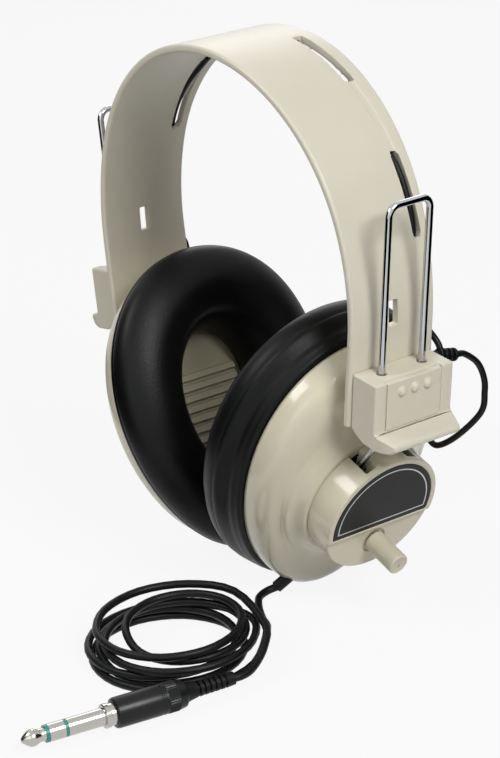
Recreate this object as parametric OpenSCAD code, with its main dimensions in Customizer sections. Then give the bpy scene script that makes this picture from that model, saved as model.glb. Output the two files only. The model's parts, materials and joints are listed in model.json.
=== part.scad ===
// Radio headphones: spring headband, two sliding wire yokes, two tilting ear cups with volume
// knobs, a link cable along the band and a coiled cord with a 6.35 mm stereo plug.
// Millimetres. Z is up and the floor is Z = 0. The wearer's ears lie along X, the face is at -Y.

/* [Headband] */
// bend radius of the crown
crown_r = 75.5; // [60:0.5:95]
// angle from the vertical where the crown bend ends
crown_angle = 72; // [60:1:80]
// bend radius of the two sides
side_r = 95; // [80:1:140]
// angle from the vertical where the straight ends begin
side_angle = 96; // [90:0.5:102]
// thickness of the strap
band_t = 3; // [2:0.1:4.5]
// width of the strap at the crown
band_w = 43.6; // [36:0.2:52]
// radius of the two long edges seen from above
edge_r = 1050; // [600:10:3000]
// length of the straight ends
end_length = 33; // [28:0.5:40]
// distance of the cable slots from the middle of the strap
slot_y = 13.6; // [10:0.1:16]
// width of the cable slots
slot_w = 2.8; // [2.6:0.1:4]
// clearance beside the cable in the slots
slot_fit = 0.8; // [0.3:0.1:1.2]
// depth of the cable groove in the inner face
groove_depth = 1.3; // [1.25:0.05:1.8]
// angle from the crown to the long slot
long_slot = 8; // [6:0.5:14]
// angle that the long slot covers
long_slot_turn = 24; // [16:0.5:30]
// angle from the end of the crown bend to the slots at its ends
end_slot = 2.5; // [1:0.5:4]
// angle that the slot at the right end covers
end_slot_turn = 14; // [8:0.5:18]
// angle that the slot at the left end covers
far_slot_turn = 32; // [20:0.5:40]
// how far the link cable hangs below the long slot
cable_dip = 3; // [1:0.1:5]
// width of the small window above each slider
window_w = 4; // [2:0.1:8]
// height of the small window above each slider
window_h = 9.5; // [5:0.1:14]

/* [Slider housing] */
// width of the housing
housing_w = 36; // [34:0.5:40]
// depth of the housing outside the strap
housing_depth = 13; // [11:0.2:16]
// top of the housing below the start of the straight end
housing_top = 12; // [8:0.5:16]
// lowest point of the housing below the start of the straight end
housing_bottom = 37.5; // [34:0.5:40]
// reach of the foot beyond the housing face
foot_reach = 8.4; // [4:0.1:12]
// how far the foot narrows on each side
foot_taper = 3.1; // [0:0.1:5]
// height of the foot's outer edge
foot_t = 4.3; // [3:0.1:6]
// how far the foot's underside is rounded at each step
sole = 0.4; // [0.2:0.05:0.6]
// width of the cover plate
cover_w = 25; // [22:0.5:28]
// height of the cover plate
cover_h = 19; // [16:0.5:22]
// thickness of the cover plate
cover_t = 2.2; // [1.5:0.1:2.6]
// radius of the three grip bumps
bump_r = 1.8; // [1:0.1:2.4]
// spacing of the three grip bumps
bump_pitch = 5.9; // [4.5:0.1:7]

/* [Wire yoke] */
// diameter of the wire
wire_d = 2.6; // [2:0.1:3.2]
// distance between the two legs
leg_spacing = 18.6; // [16:0.2:22]
// distance of the legs from the strap's middle surface
wire_x = 7; // [5.5:0.1:8]
// height of the loop above the start of the straight end
loop_top = 51; // [40:0.5:60]
// bend radius of the loop corners
loop_r = 4; // [3:0.5:6]
// end of the straight legs below the start of the straight end
leg_bottom = 39; // [38:0.5:42]
// bend radius of the legs below the housing
bend_r = 4; // [3:0.5:6]
// bend radius at the pivot pins
pin_r = 2; // [1.6:0.1:3]
// length of the pivot pin turned in at the end of each leg
pin_length = 5.5; // [4:0.1:6.5]

/* [Ear cup] */
// how far the middle of the cup lies inside the strap end
hang_x = 7.134; // [2:0.001:14]
// height of the front face's centre
cup_z = 40.7; // [30:0.1:60]
// how far the strap end lies above the middle of the cup
hang_z = 74.544; // [68:0.001:82]
// lean of the cup in the pose shown
cup_tilt = 20; // [10:0.5:28]
// half the width of the shell at its rim
shell_hw = 40; // [34:0.5:46]
// half the height of the shell at its rim
shell_hh = 55; // [48:0.5:60]
// how much narrower the lower end is
egg = 0.1; // [0:0.01:0.2]
// height of the shell's middle above the front face's centre
shell_w = 2; // [-6:0.5:6]
// distance of the rim behind the front face
rim_u = 33; // [28:0.5:38]
// distance of the shell's outer wall behind the front face
wall_u = 18; // [15:0.5:20]
// wall thickness of the shell
wall = 2.4; // [1.8:0.1:3]
// radius of the boss at its foot
boss_r = 29; // [27:0.5:32]
// radius of the pivot cap
cap_r = 25; // [23:0.5:27]
// height of the pivot cap
cap_h = 13; // [11:0.5:15]
// wall thickness of the pivot cap
cap_wall = 2.6; // [2.2:0.1:3.5]
// distance of the tilt axis behind the front face
pivot_u = 9; // [8:0.1:10]
// height of the tilt axis above the front face's centre
pivot_w = 18.5; // [17:0.1:19.5]
// height of the bearing block
block_h = 6; // [5:0.1:7]
// how far the bearing block reaches below the pivot
block_under = 3.4; // [2.6:0.1:4]
// thickness of the cap's face in front of the legs
face_t = 2.2; // [1.6:0.1:2.6]
// radius of the black plate
plate_r = 22.6; // [20:0.1:23.5]
// straight lower edge of the black plate below the centre
plate_cut = 5; // [2:0.1:8]
// thickness of the black plate
plate_t = 0.8; // [0.5:0.1:1.2]
// step of the lower face segment
step_t = 1.2; // [0.6:0.1:1.6]

/* [Cushion] */
// how far the cushion stands out beyond the shell's rim
cushion_over = 7.5; // [4:0.5:9]
// thickness of the cushion
cushion_t = 24; // [18:0.5:26]
// half the height of the cushion without its overhang
cushion_hh = 53; // [46:0.5:58]
// how far the cushion's middle lies above the middle of the cup
cushion_w = 3; // [-3:0.5:6]
// half the width of the ear opening
ear_hw = 19; // [15:0.5:26]
// half the height of the ear opening
ear_hh = 29; // [22:0.5:36]
// how far the ear opening widens at its mouth
ear_flare = 9; // [4:0.5:11]

/* [Inside the cup] */
// thickness of the louvred baffle
baffle_t = 2.2; // [1.6:0.1:3]
// pitch of the louvre slots
louvre_pitch = 4; // [3:0.1:6]
// radius of the loudspeaker
driver_r = 22; // [18:0.5:24]
// depth of the loudspeaker
driver_h = 5.5; // [4:0.5:6.5]
// how far the loudspeaker sits below the middle of the cup
driver_drop = 8; // [4:0.5:10]

/* [Volume control] */
// diameter of the knob
knob_d = 8.4; // [7:0.1:10]
// length of the knob
knob_length = 15; // [10:0.5:20]
// distance of the knob below the front face's centre
knob_w = 13.6; // [12:0.1:15]
// diameter of the potentiometer shaft
shaft_d = 4; // [3:0.1:5]
// diameter of the potentiometer body
pot_d = 12; // [10:0.1:12.6]

/* [Cables] */
// diameter of the link cable
link_d = 2.4; // [1.8:0.1:2.6]
// diameter of the cord
cord_d = 3; // [2.4:0.1:3.6]
// outer radius of the coil
coil_r = 34.2; // [28:0.1:44]
// height of the coil
coil_h = 12; // [8:0.5:16]

/* [Plug] */
// diameter of the plug finger
plug_d = 6.35; // [6.3:0.01:6.4]
// length of the plug finger
plug_length = 30.5; // [28:0.1:32]
// diameter of the barrel
barrel_d = 11; // [9:0.1:14]
// length of the barrel
barrel_length = 27; // [20:0.5:34]
// length of the boot
boot_length = 20; // [14:0.5:26]
// length of the collar
collar_length = 4; // [2:0.1:6]

/* [Fits] */
// radial clearance of the wire in its bores
wire_fit = 0.35; // [0.3:0.05:0.5]
// radial clearance of the knob and its shaft
knob_fit = 0.3; // [0.3:0.05:0.5]
// clearance beside a leg in its notch
notch_fit = 0.9; // [0.5:0.1:1.2]
// clearance between parts that are fixed together
seat_fit = 0.1; // [0.05:0.05:0.3]

/* [Hidden] */
$fn = 64;
e = 0.01;
wire_r = wire_d / 2;
// the wire swells by this much where it is bent, and a straight length runs this far into a bend
swell = 0.03;
lap = 0.3;
leg_y = leg_spacing / 2;
side_cx = (crown_r - side_r) * sin(crown_angle);
end_x = side_cx + side_r * sin(side_angle);
end_z = cup_z + hang_z;
side_cz = end_z - side_r * cos(side_angle);
crown_cz = side_cz - (crown_r - side_r) * cos(crown_angle);
crown_z = crown_cz + crown_r;
cup_x = end_x - hang_x;
lean = side_angle - 90;
housing_face = band_t / 2 + housing_depth;
foot_z = housing_bottom - foot_t;
dip_lead = long_slot / 2;
far_slot_end = crown_angle - end_slot - far_slot_turn;
window_angle = side_angle - 4;
cushion_u = rim_u + cushion_t;
pivot_x = cup_x - pivot_u * cos(cup_tilt) + pivot_w * sin(cup_tilt);
pivot_z = cup_z + pivot_u * sin(cup_tilt) + pivot_w * cos(cup_tilt);
bend_x = end_x + wire_x * cos(lean) - leg_bottom * sin(lean);
bend_z = end_z - wire_x * sin(lean) - leg_bottom * cos(lean);
shank = norm([pivot_x - bend_x, pivot_z - bend_z]);
bend_angle = atan2(bend_x - pivot_x, bend_z - pivot_z) - lean;
bend_t = bend_r * tan(bend_angle / 2);
block_hy = leg_y - wire_r - notch_fit - seat_fit;
knob_u = 1;
coil_x = 41;
coil_y = -77;
plug_x = 79;
plug_y = -78.2;
plug_yaw = -99;
plug_z = barrel_d / 2;
sleeve_end = plug_length * 0.45;
ring_end = plug_length * 0.68;
gap = 1;
collar_x = boot_length + barrel_length;
finger_x = collar_x + collar_length;
beige = [0.81, 0.79, 0.7];
vinyl = [0.08, 0.085, 0.085];
steel = [0.78, 0.79, 0.8];
teal = [0.12, 0.6, 0.54];

// One bend of the strap: turns a flat profile (x = radius, y = -Y) about an axis along Y.
module bend(cx, cz, from, to) {
  translate([cx, 0, cz]) rotate([90, 0, 0]) rotate([0, 0, 90 - to])
    rotate_extrude(angle = to - from) children();
}

// A flat outline in the plane across the cup, drawn up along the cup's axis.
module across(u0, u1) {
  translate([u0, 0, 0]) rotate([90, 0, 90]) linear_extrude(u1 - u0) children();
}

// A flat outline in the side view (x, z), drawn out to both sides along Y.
module sideways(width) {
  rotate([90, 0, 0]) linear_extrude(width, center = true) children();
}

// A round bar between two points.
module rod(p, q, r) {
  d = q - p;
  translate(p) rotate([0, acos(d[2] / norm(d)), atan2(d[1], d[0])]) cylinder(h = norm(d), r = r);
}

// The frame of an ear cup: x along its axis to the outside, z up its face.
module in_cup() {
  translate([cup_x, 0, cup_z]) rotate([0, cup_tilt, 0]) children();
}

// The frame of a strap end: x to the outside, z up along the strap.
module in_end() {
  translate([end_x, 0, end_z]) rotate([0, lean, 0]) children();
}

// The frame of the plug: x towards the tip.
module in_plug() {
  translate([plug_x, plug_y, plug_z]) rotate([0, 0, plug_yaw]) children();
}

// The egg outline of the cup, larger by d all round.
function egg_points(hw, hh, d, w) = [for (i = [0:47])
  [(hw + d) * cos(i * 7.5) * (1 + egg * sin(i * 7.5)), w + (hh + d) * sin(i * 7.5)]];

module egg_slice(u, d) {
  across(-u, -u + e) polygon(egg_points(shell_hw, shell_hh, d, shell_w));
}

module ear_slice(u, d) {
  across(-u, -u + e) polygon(egg_points(ear_hw, ear_hh, d, shell_w));
}

module pad_slice(u, d) {
  across(-u, -u + e) polygon(egg_points(shell_hw, cushion_hh, d, cushion_w));
}

// A profile that is a rectangle: radius r0 to r1, Y from y0 to y1.
module strip(r0, r1, y0, y1) {
  translate([r0, -y1]) square([r1 - r0, y1 - y0]);
}

// A tube with eight sides along a row of points. No stretch of it may run along aside.
module tube(points, r, aside) {
  n = len(points);
  run = [for (i = [0:n - 1]) points[min(i + 1, n - 1)] - points[max(i - 1, 0)]];
  ring = [for (i = [0:n - 1]) let (t = run[i] / norm(run[i]), s = cross(t, aside),
      a = s / norm(s), b = cross(a, t))
    for (k = [0:7]) points[i] + r * (cos(k * 45) * a + sin(k * 45) * b)];
  sides = [for (i = [0:n - 2], k = [0:7], h = [0:1]) let (m = (k + 1) % 8, q = i * 8)
    h == 0 ? [q + k, q + m, q + 8 + m] : [q + k, q + 8 + m, q + 8 + k]];
  first = [for (k = [0:7]) 7 - k];
  last = [for (k = [0:7]) n * 8 - 8 + k];
  polyhedron(points = ring, faces = concat([first], sides, [last]), convexity = 4);
}

// A smooth row of points through the given ones.
function blend4(p, q, r, s, t) = q + 0.5 * t * ((r - p) + t * ((2 * p - 5 * q + 4 * r - s)
  + t * (3 * (q - r) + s - p)));
function smooth(p, steps) = let (n = len(p)) concat([for (i = [0:n - 2], k = [0:steps - 1])
  blend4(p[max(i - 1, 0)], p[i], p[i + 1], p[min(i + 2, n - 1)], k / steps)], [p[n - 1]]);

// The headband: crown and side bends cut to their tapered outline, straight ends, cable slots.
module half_band() {
  bend(side_cx, side_cz, crown_angle, side_angle)
    strip(side_r - band_t / 2, side_r + band_t / 2, -band_w / 2, band_w / 2);
  in_end() translate([-band_t / 2, -band_w / 2, -end_length]) cube([band_t, band_w, end_length]);
}

module inner_groove(r) {
  strip(r - band_t, r - band_t / 2 + groove_depth, slot_y - slot_w / 2, slot_y + slot_w / 2);
}

module outer_groove(r) {
  strip(r + band_t / 2 - groove_depth, r + band_t, slot_y - slot_w / 2, slot_y + slot_w / 2);
}

module right_groove() {
  bend(0, crown_cz, -far_slot_end - 1, crown_angle) inner_groove(crown_r);
  bend(side_cx, side_cz, crown_angle, side_angle) inner_groove(side_r);
}

module left_groove() {
  bend(0, crown_cz, crown_angle - end_slot - 1, crown_angle) outer_groove(crown_r);
  bend(side_cx, side_cz, crown_angle, side_angle) outer_groove(side_r);
}

module crown_slot(from, to) {
  bend(0, crown_cz, from, to)
    strip(crown_r - band_t, crown_r + band_t, slot_y - slot_w / 2 - slot_fit,
      slot_y + slot_w / 2 + slot_fit);
}

module band_window() {
  translate([side_cx, 0, side_cz]) rotate([0, window_angle - 90, 0])
    translate([side_r - band_t, -window_w / 2, -window_h / 2]) cube([2 * band_t, window_w, window_h]);
}

// The strap's outline seen from above: half a width y at a distance x from the crown.
function half_width(x) = band_w / 2 - x * x / (2 * edge_r);
module plan() {
  polygon(concat([for (i = [-8:8]) [i * 12, half_width(i * 12)]],
    [for (i = [-8:8]) [-i * 12, -half_width(i * 12)]]));
}

module headband() {
  color(beige) difference() {
    intersection() {
      union() {
        bend(0, crown_cz, -crown_angle, crown_angle)
          strip(crown_r - band_t / 2, crown_r + band_t / 2, -band_w / 2, band_w / 2);
        half_band();
        mirror([1, 0, 0]) half_band();
      }
      linear_extrude(crown_z + 20) plan();
    }
    right_groove();
    mirror([1, 0, 0]) left_groove();
    crown_slot(long_slot, long_slot + long_slot_turn);
    crown_slot(crown_angle - end_slot - end_slot_turn, crown_angle - end_slot);
    crown_slot(end_slot - crown_angle, end_slot + far_slot_turn - crown_angle);
    band_window();
    mirror([1, 0, 0]) band_window();
  }
}

// The link cable lies half in the groove, and hangs free under the long slot beside the crown.
dip_from = long_slot - dip_lead;
dip_turn = long_slot_turn + 2 * dip_lead;
function dip(a) = a > dip_from && a < dip_from + dip_turn
  ? cable_dip * pow(sin((a - dip_from) * 180 / dip_turn), 2) : 0;
function crown_point(a, r) = [r * sin(a), slot_y, crown_cz + r * cos(a)];
function side_point(a, r) = [side_cx + r * sin(a), slot_y, side_cz + r * cos(a)];
// Past the far slot the cable lies on the outside of the strap.
function ease(t) = t < 0 ? 0 : t > 1 ? 1 : t * t * (3 - 2 * t);
function through(a) = band_t / 2
  - band_t * ease((a + crown_angle - 2 * end_slot) / (far_slot_turn - 2 * end_slot));
function side_row(r) = [for (i = [1:4]) side_point(crown_angle + i * (90 - crown_angle) / 4, r)];
far_points = side_row(side_r + band_t / 2);
crown_points = [for (a = [-crown_angle:4:crown_angle])
  crown_point(a, crown_r + through(a) - dip(a))];
cable_points = concat([for (i = [3:-1:0]) [-far_points[i][0], slot_y, far_points[i][2]]],
  crown_points, side_row(side_r - band_t / 2));

module band_cable() {
  color(vinyl) tube(cable_points, link_d / 2, [0, 1, 0]);
}

// The slider housing at a strap end, with the two wire bores and the pocket for its cover.
module housing_outline() {
  polygon([[band_t / 2, -housing_top], [housing_face, -housing_top],
    [housing_face, -housing_top - cover_h - seat_fit],
    [housing_face + foot_reach, -foot_z], [housing_face + foot_reach + sole, sole * 6 - housing_bottom],
    [housing_face + foot_reach - sole * 6, sole - housing_bottom],
    [housing_face + sole * 6, -housing_bottom], [housing_face - sole * 15, sole - housing_bottom],
    [housing_face - sole * 24, sole * 5 - housing_bottom], [band_t / 2, -foot_z]]);
}

// The same seen from above, narrower towards the end of the foot.
module housing_plan() {
  tip = housing_face + foot_reach + 2 * sole;
  polygon([[0, -housing_w / 2 - sole], [housing_face, -housing_w / 2 - sole],
    [housing_face + sole, -housing_w / 2], [tip, foot_taper - housing_w / 2],
    [tip, housing_w / 2 - foot_taper], [housing_face + sole, housing_w / 2],
    [housing_face, housing_w / 2 + sole], [0, housing_w / 2 + sole]]);
}

module leg_bore(side) {
  translate([wire_x, side * leg_y, -housing_bottom - sole])
    cylinder(h = housing_bottom - housing_top + 2 * sole, r = wire_r + wire_fit);
}

module cover_pocket() {
  translate([housing_face - cover_t - seat_fit, -cover_w / 2 - seat_fit, -housing_top - cover_h - seat_fit])
    cube([cover_t + 2, cover_w + 2 * seat_fit, cover_h + 2]);
}

module pad_pocket() {
  translate([wire_x + 0.6, -cover_w / 2 + 1, -housing_top - cover_h + 2])
    cube([housing_face - wire_x, cover_w - 2, cover_h - 5]);
}

module housing() {
  difference() {
    in_end() intersection() {
      sideways(housing_w) housing_outline();
      translate([0, 0, -housing_bottom - sole]) linear_extrude(housing_bottom) housing_plan();
    }
    in_end() leg_bore(1);
    in_end() leg_bore(-1);
    in_end() cover_pocket();
    in_end() pad_pocket();
  }
}

module cover() {
  in_end() {
    difference() {
      translate([housing_face - cover_t, -cover_w / 2, -housing_top - cover_h])
        cube([cover_t, cover_w, cover_h]);
      translate([housing_face - cover_t - 1, -leg_y - 2, -housing_top - 1.6])
        cube([cover_t + 2, 2 * leg_y + 4, 3]);
    }
    for (i = [-1:1])
      translate([housing_face - 0.4, i * bump_pitch, -housing_top - 5]) sphere(bump_r);
  }
}

module friction_pad() {
  in_end() translate([wire_x + wire_r + wire_fit + seat_fit, -cover_w / 2 + 1 + seat_fit,
      -housing_top - cover_h + 2 + seat_fit])
    cube([housing_face - cover_t - wire_x - wire_r - wire_fit - 2 * seat_fit,
      cover_w - 2 - 2 * seat_fit, cover_h - 5 - 2 * seat_fit]);
}

// The wire yoke: a loop with two legs that bend in below the housing and end in pivot pins.
module elbow(r, angle) {
  rotate_extrude(angle = angle) translate([r, 0]) circle(wire_r + swell);
}

module yoke_half() {
  in_end() {
    translate([wire_x, leg_y, bend_t - leg_bottom - lap])
      cylinder(h = loop_top - loop_r + leg_bottom - bend_t + 2 * lap, r = wire_r);
    translate([wire_x, leg_y - loop_r, loop_top - loop_r]) rotate([90, 0, 90]) elbow(loop_r, 90);
    translate([wire_x - bend_r, leg_y, bend_t - leg_bottom]) rotate([-90, 0, 0]) elbow(bend_r, bend_angle);
    translate([wire_x, leg_y, -leg_bottom]) rotate([0, bend_angle, 0]) {
      translate([0, 0, pin_r - shank - lap])
        cylinder(h = shank - pin_r - bend_t + 2 * lap, r = wire_r);
      translate([0, -pin_r, pin_r - shank]) rotate([-90, 0, 90]) elbow(pin_r, 90);
      translate([0, -pin_length, -shank]) rotate([-90, 0, 0])
        cylinder(h = pin_length - pin_r + lap, r = wire_r);
    }
  }
}

module loop_bar() {
  in_end() translate([wire_x, loop_r - leg_y - lap, loop_top]) rotate([-90, 0, 0])
    cylinder(h = 2 * (leg_y - loop_r + lap), r = wire_r);
}

module yoke() {
  loop_bar();
  yoke_half();
  mirror([0, 1, 0]) yoke_half();
}

// The ear-cup shell: a domed egg with a round boss, hollow, open at the rim and through the boss.
module shell() {
  in_cup() difference() {
    union() {
      hull() {
        egg_slice(rim_u, 0);
        egg_slice(rim_u - 8, -0.6);
        egg_slice(wall_u + 3, -3.4);
        egg_slice(wall_u + 0.8, -7.5);
        egg_slice(wall_u, -13);
      }
      translate([-wall_u - 1, 0, 0]) rotate([0, 90, 0])
        cylinder(h = wall_u + 1 - cap_h, r1 = boss_r, r2 = cap_r + 1);
    }
    hull() {
      egg_slice(rim_u + 1, -wall);
      egg_slice(rim_u - 8, -wall - 0.6);
      egg_slice(wall_u + wall, -wall - 8);
    }
    translate([-wall_u - wall - 2, 0, 0]) rotate([0, 90, 0]) cylinder(h = 20, r = cap_r - cap_wall);
  }
}

// The pivot cap on the boss: a round lid with the bearing block and the way in for the two legs.
module leg_notch(side) {
  translate([-cap_h - wall, side * leg_y - wire_r - notch_fit, pivot_w - block_under - 2 * seat_fit])
    cube([cap_h + wall - face_t, 2 * (wire_r + notch_fit), cap_r]);
}

module pin_bore(side) {
  translate([-pivot_u, side * (leg_y - pin_length - notch_fit), pivot_w]) rotate([-side * 90, 0, 0])
    cylinder(h = pin_length + wire_r + 2 * notch_fit - seat_fit, r = wire_r + wire_fit);
}

module cap() {
  in_cup() difference() {
    union() {
      difference() {
        translate([-cap_h, 0, 0]) rotate([0, 90, 0]) cylinder(h = cap_h, r = cap_r);
        translate([-cap_h - 1, 0, 0]) rotate([0, 90, 0])
          cylinder(h = cap_h + 1 - cap_wall, r = cap_r - cap_wall);
        translate([-step_t, -cap_r, -2 * cap_r - plate_cut - 1.4]) cube([step_t + 1, 2 * cap_r, 2 * cap_r]);
      }
      translate([-cap_h + seat_fit, -block_hy, pivot_w - block_under])
        cube([cap_h - seat_fit - cap_wall / 2, 2 * block_hy, block_h]);
    }
    leg_notch(1);
    leg_notch(-1);
    pin_bore(1);
    pin_bore(-1);
    across(-plate_t, 1) plate_outline(plate_r + seat_fit);
    translate([-cap_h, 0, -knob_w]) rotate([0, 90, 0])
      cylinder(h = cap_h + 2, r = shaft_d / 2 + 3 * knob_fit);
    translate([-2, 0, -knob_w]) rotate([0, 90, 0]) cylinder(h = 4, r = knob_d / 2 + 3 * knob_fit);
  }
}

// The black plate with the straight lower edge, and the thin line around it.
module plate_outline(r) {
  intersection() {
    circle(r);
    translate([-r, plate_r - r - plate_cut]) square(2 * r + plate_cut);
  }
}

module plate() {
  in_cup() difference() {
    across(-plate_t, -0.1) plate_outline(plate_r);
    across(-0.3, 1) plate_ring(0);
  }
}

module plate_ring(d) {
  difference() {
    plate_outline(plate_r - 1.9 - d);
    plate_outline(plate_r - 2.4 + d);
  }
}

module plate_line() {
  in_cup() across(-0.3, -0.05) plate_ring(0.02);
}

// The louvred baffle in the rim, the loudspeaker behind it and its magnet.
module baffle() {
  in_cup() difference() {
    across(-rim_u, baffle_t - rim_u)
      polygon(egg_points(shell_hw, shell_hh, -wall - 3 * seat_fit, shell_w));
    for (i = [0:8])
      translate([-rim_u - 1, -14, 6 - i * louvre_pitch]) cube([baffle_t + 2, 28, louvre_pitch / 2]);
  }
}

module driver() {
  in_cup() translate([-rim_u + baffle_t + e, 0, -driver_drop]) rotate([0, 90, 0]) difference() {
    cylinder(h = driver_h, r1 = driver_r, r2 = driver_r * 0.6);
    translate([0, 0, -1]) cylinder(h = driver_h, r1 = driver_r * 0.9, r2 = driver_r * 0.4);
  }
}

module magnet() {
  in_cup() translate([-rim_u + baffle_t + e + driver_h, 0, -driver_drop]) rotate([0, 90, 0])
    cylinder(h = 5, r = driver_r * 0.5);
}

// The cushion: a soft ring with rounded edges and a funnel to the ear opening.
module cushion() {
  in_cup() difference() {
    hull() {
      egg_slice(rim_u + e, 1);
      pad_slice(rim_u + cushion_t * 0.42, cushion_over - 0.5);
      pad_slice(rim_u + cushion_t * 0.67, cushion_over);
      pad_slice(rim_u + cushion_t * 0.83, cushion_over - 3.5);
      pad_slice(rim_u + cushion_t * 0.92, cushion_over - 9.5);
      pad_slice(cushion_u, cushion_over - 15.5);
    }
    hull() {
      ear_slice(rim_u - 1, 0);
      ear_slice(rim_u + 4, 0);
    }
    hull() {
      ear_slice(rim_u + 4 - e, 0);
      ear_slice(cushion_u + 0.5, ear_flare);
    }
  }
}

// The volume control: potentiometer body, bushing and shaft, and the plain knob on the shaft.
module pot() {
  in_cup() translate([-cap_h + 1, 0, -knob_w]) rotate([0, 90, 0]) {
    cylinder(h = cap_h - cap_wall - 1, r = pot_d / 2);
    cylinder(h = cap_h + knob_length - 5, r = shaft_d / 2);
  }
}

module knob() {
  in_cup() translate([-knob_u, 0, -knob_w]) rotate([0, 90, 0]) difference() {
    cylinder(h = knob_length, r = knob_d / 2);
    translate([0, 0, -1]) cylinder(h = knob_length - 1.5, r = shaft_d / 2 + knob_fit);
    translate([knob_d / 4, -0.4, knob_length - 0.4]) cube([knob_d / 3, 0.8, 1]);
  }
}

// The link cable at a strap end: from the groove around the strap's rear edge, the ribbed strain
// relief on the housing, the free loop in two lengths and the grommet in the shell.
drop_from = [side_cx + side_r - band_t / 2, slot_y, side_cz];
strap_end = [end_x, half_width(end_x) + 1, end_z];
cup_mid = [cup_x, 0, cup_z];
relief_from = [end_x + 2.07, housing_w / 2 - 0.4, end_z - housing_top - 2.2];
relief_to = relief_from + [0, 11.4, -2.6];
relief_way = (relief_to - relief_from) / norm(relief_to - relief_from);
grommet_from = cup_mid + [-14.4, 32, 19.3];
grommet_to = cup_mid + [-11.6, 32, 18.3];
grommet_way = (grommet_to - grommet_from) / norm(grommet_to - grommet_from);
loop_middle = strap_end + [2.3, 22.2, -35];
drop_points = [drop_from, drop_from - [0.2, 0, 4], drop_from - [1.6, -1, 9],
  strap_end + [-2.7, -1.5, -4.7], strap_end + [-1.5, 1.2, -8.7], strap_end + [0.7, 1.8, -11.7],
  strap_end + [2.07, 1.6, -14.6]];
upper_points = [relief_to + 2 * seat_fit * relief_way, relief_to + 4 * relief_way,
  strap_end + [2.2, 18.8, -22.6], strap_end + [2.3, 21.8, -29], loop_middle];
lower_points = [loop_middle, strap_end + [1, 21.4, -43.4], cup_mid + [1.7, 35.4, 21.6],
  grommet_to + 6 * grommet_way, grommet_to + 2 * seat_fit * grommet_way];

far_from = drop_from + [band_t, 0, 0];
far_drop_points = [far_from, far_from + [0.5, 0.3, -5], strap_end + [3.1, -3.4, -2],
  strap_end + [2.9, 0.8, -8], strap_end + [2.5, 1.8, -11.6], strap_end + [2.07, 1.6, -14.6]];

module drop(points) {
  tube(smooth(points, 4), link_d / 2, [1, 0, 0]);
}

module strain_relief() {
  d = relief_to - relief_from;
  for (i = [0:3])
    rod(relief_from + d * (0.24 + i * 0.2), relief_from + d * (0.36 + i * 0.2), 2.5);
  rod(relief_from, relief_to, 1.8);
}

module loop_upper() {
  tube(smooth(upper_points, 6), link_d / 2, [1, 0, 0]);
}

module loop_lower() {
  tube(smooth(lower_points, 5), link_d / 2, [0, 1, 0]);
}

module grommet() {
  rod(grommet_from, grommet_to, 2.4);
}

// Right and left pieces.
module right_housing() { color(beige) housing(); }
module right_cover() { color(beige) cover(); }
module right_friction_pad() { color(vinyl) friction_pad(); }
module right_yoke() { color(steel) yoke(); }
module right_shell() { color(beige) shell(); }
module right_cap() { color(beige) cap(); }
module right_plate() { color(vinyl) plate(); }
module right_plate_line() { color(steel) plate_line(); }
module right_baffle() { color(beige) baffle(); }
module right_driver() { color(vinyl) driver(); }
module right_magnet() { color(steel) magnet(); }
module right_cushion() { color(vinyl) cushion(); }
module right_pot() { color(steel) pot(); }
module right_knob() { color(beige) knob(); }
module right_strain_relief() { color(vinyl) strain_relief(); }
module right_drop() { color(vinyl) drop(drop_points); }
module right_loop_upper() { color(vinyl) loop_upper(); }
module right_loop_lower() { color(vinyl) loop_lower(); }
module right_grommet() { color(vinyl) grommet(); }
module left_housing() { mirror([1, 0, 0]) right_housing(); }
module left_cover() { mirror([1, 0, 0]) right_cover(); }
module left_friction_pad() { mirror([1, 0, 0]) right_friction_pad(); }
module left_yoke() { mirror([1, 0, 0]) right_yoke(); }
module left_shell() { mirror([1, 0, 0]) right_shell(); }
module left_cap() { mirror([1, 0, 0]) right_cap(); }
module left_plate() { mirror([1, 0, 0]) right_plate(); }
module left_plate_line() { mirror([1, 0, 0]) right_plate_line(); }
module left_baffle() { mirror([1, 0, 0]) right_baffle(); }
module left_driver() { mirror([1, 0, 0]) right_driver(); }
module left_magnet() { mirror([1, 0, 0]) right_magnet(); }
module left_cushion() { mirror([1, 0, 0]) right_cushion(); }
module left_pot() { mirror([1, 0, 0]) right_pot(); }
module left_knob() { mirror([1, 0, 0]) right_knob(); }
module left_strain_relief() { mirror([1, 0, 0]) right_strain_relief(); }
module left_drop() { color(vinyl) mirror([1, 0, 0]) drop(far_drop_points); }
module left_loop_upper() { mirror([1, 0, 0]) right_loop_upper(); }
module left_loop_lower() { mirror([1, 0, 0]) right_loop_lower(); }
module left_grommet() { mirror([1, 0, 0]) right_grommet(); }

// The cord: gland under the right cup, lead to the coil, the coil, and the tail to the plug.
gland_from = cup_mid + [-37.8, -16, -33.7];
gland_to = cup_mid + [-40.4, -20, -37.7];
lead_points = [gland_to, gland_to + [3, -2.9, -1.2], [36.5, -27, 1.6], [43.5, -32.5, 1.6],
  [50, -39, 1.7], [55, -46, 3]];
tail_points = [[66.7, -55.5, 8], [72.7, -62.2, 7.2], [76.8, -69.4, 6.2],
  [plug_x + 0.63, plug_y + 3.95, plug_z], [plug_x, plug_y, plug_z]];

module cord_gland() {
  color(vinyl) rod(gland_from, gland_to, 2.3);
}

module cord_lead() {
  color(vinyl) tube(smooth(lead_points, 4), cord_d / 2, [0, 0, 1]);
}

module cord_coil() {
  color(vinyl) translate([coil_x, coil_y, 0]) rotate_extrude() {
    translate([coil_r - 10, 0]) square([8, coil_h]);
    translate([coil_r - 10, 2]) square([10, coil_h - 4]);
    translate([coil_r - 2, 2]) circle(2);
    translate([coil_r - 2, coil_h - 2]) circle(2);
  }
}

module cord_tail() {
  color(vinyl) tube(smooth(tail_points, 4), cord_d / 2, [0, 0, 1]);
}

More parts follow.
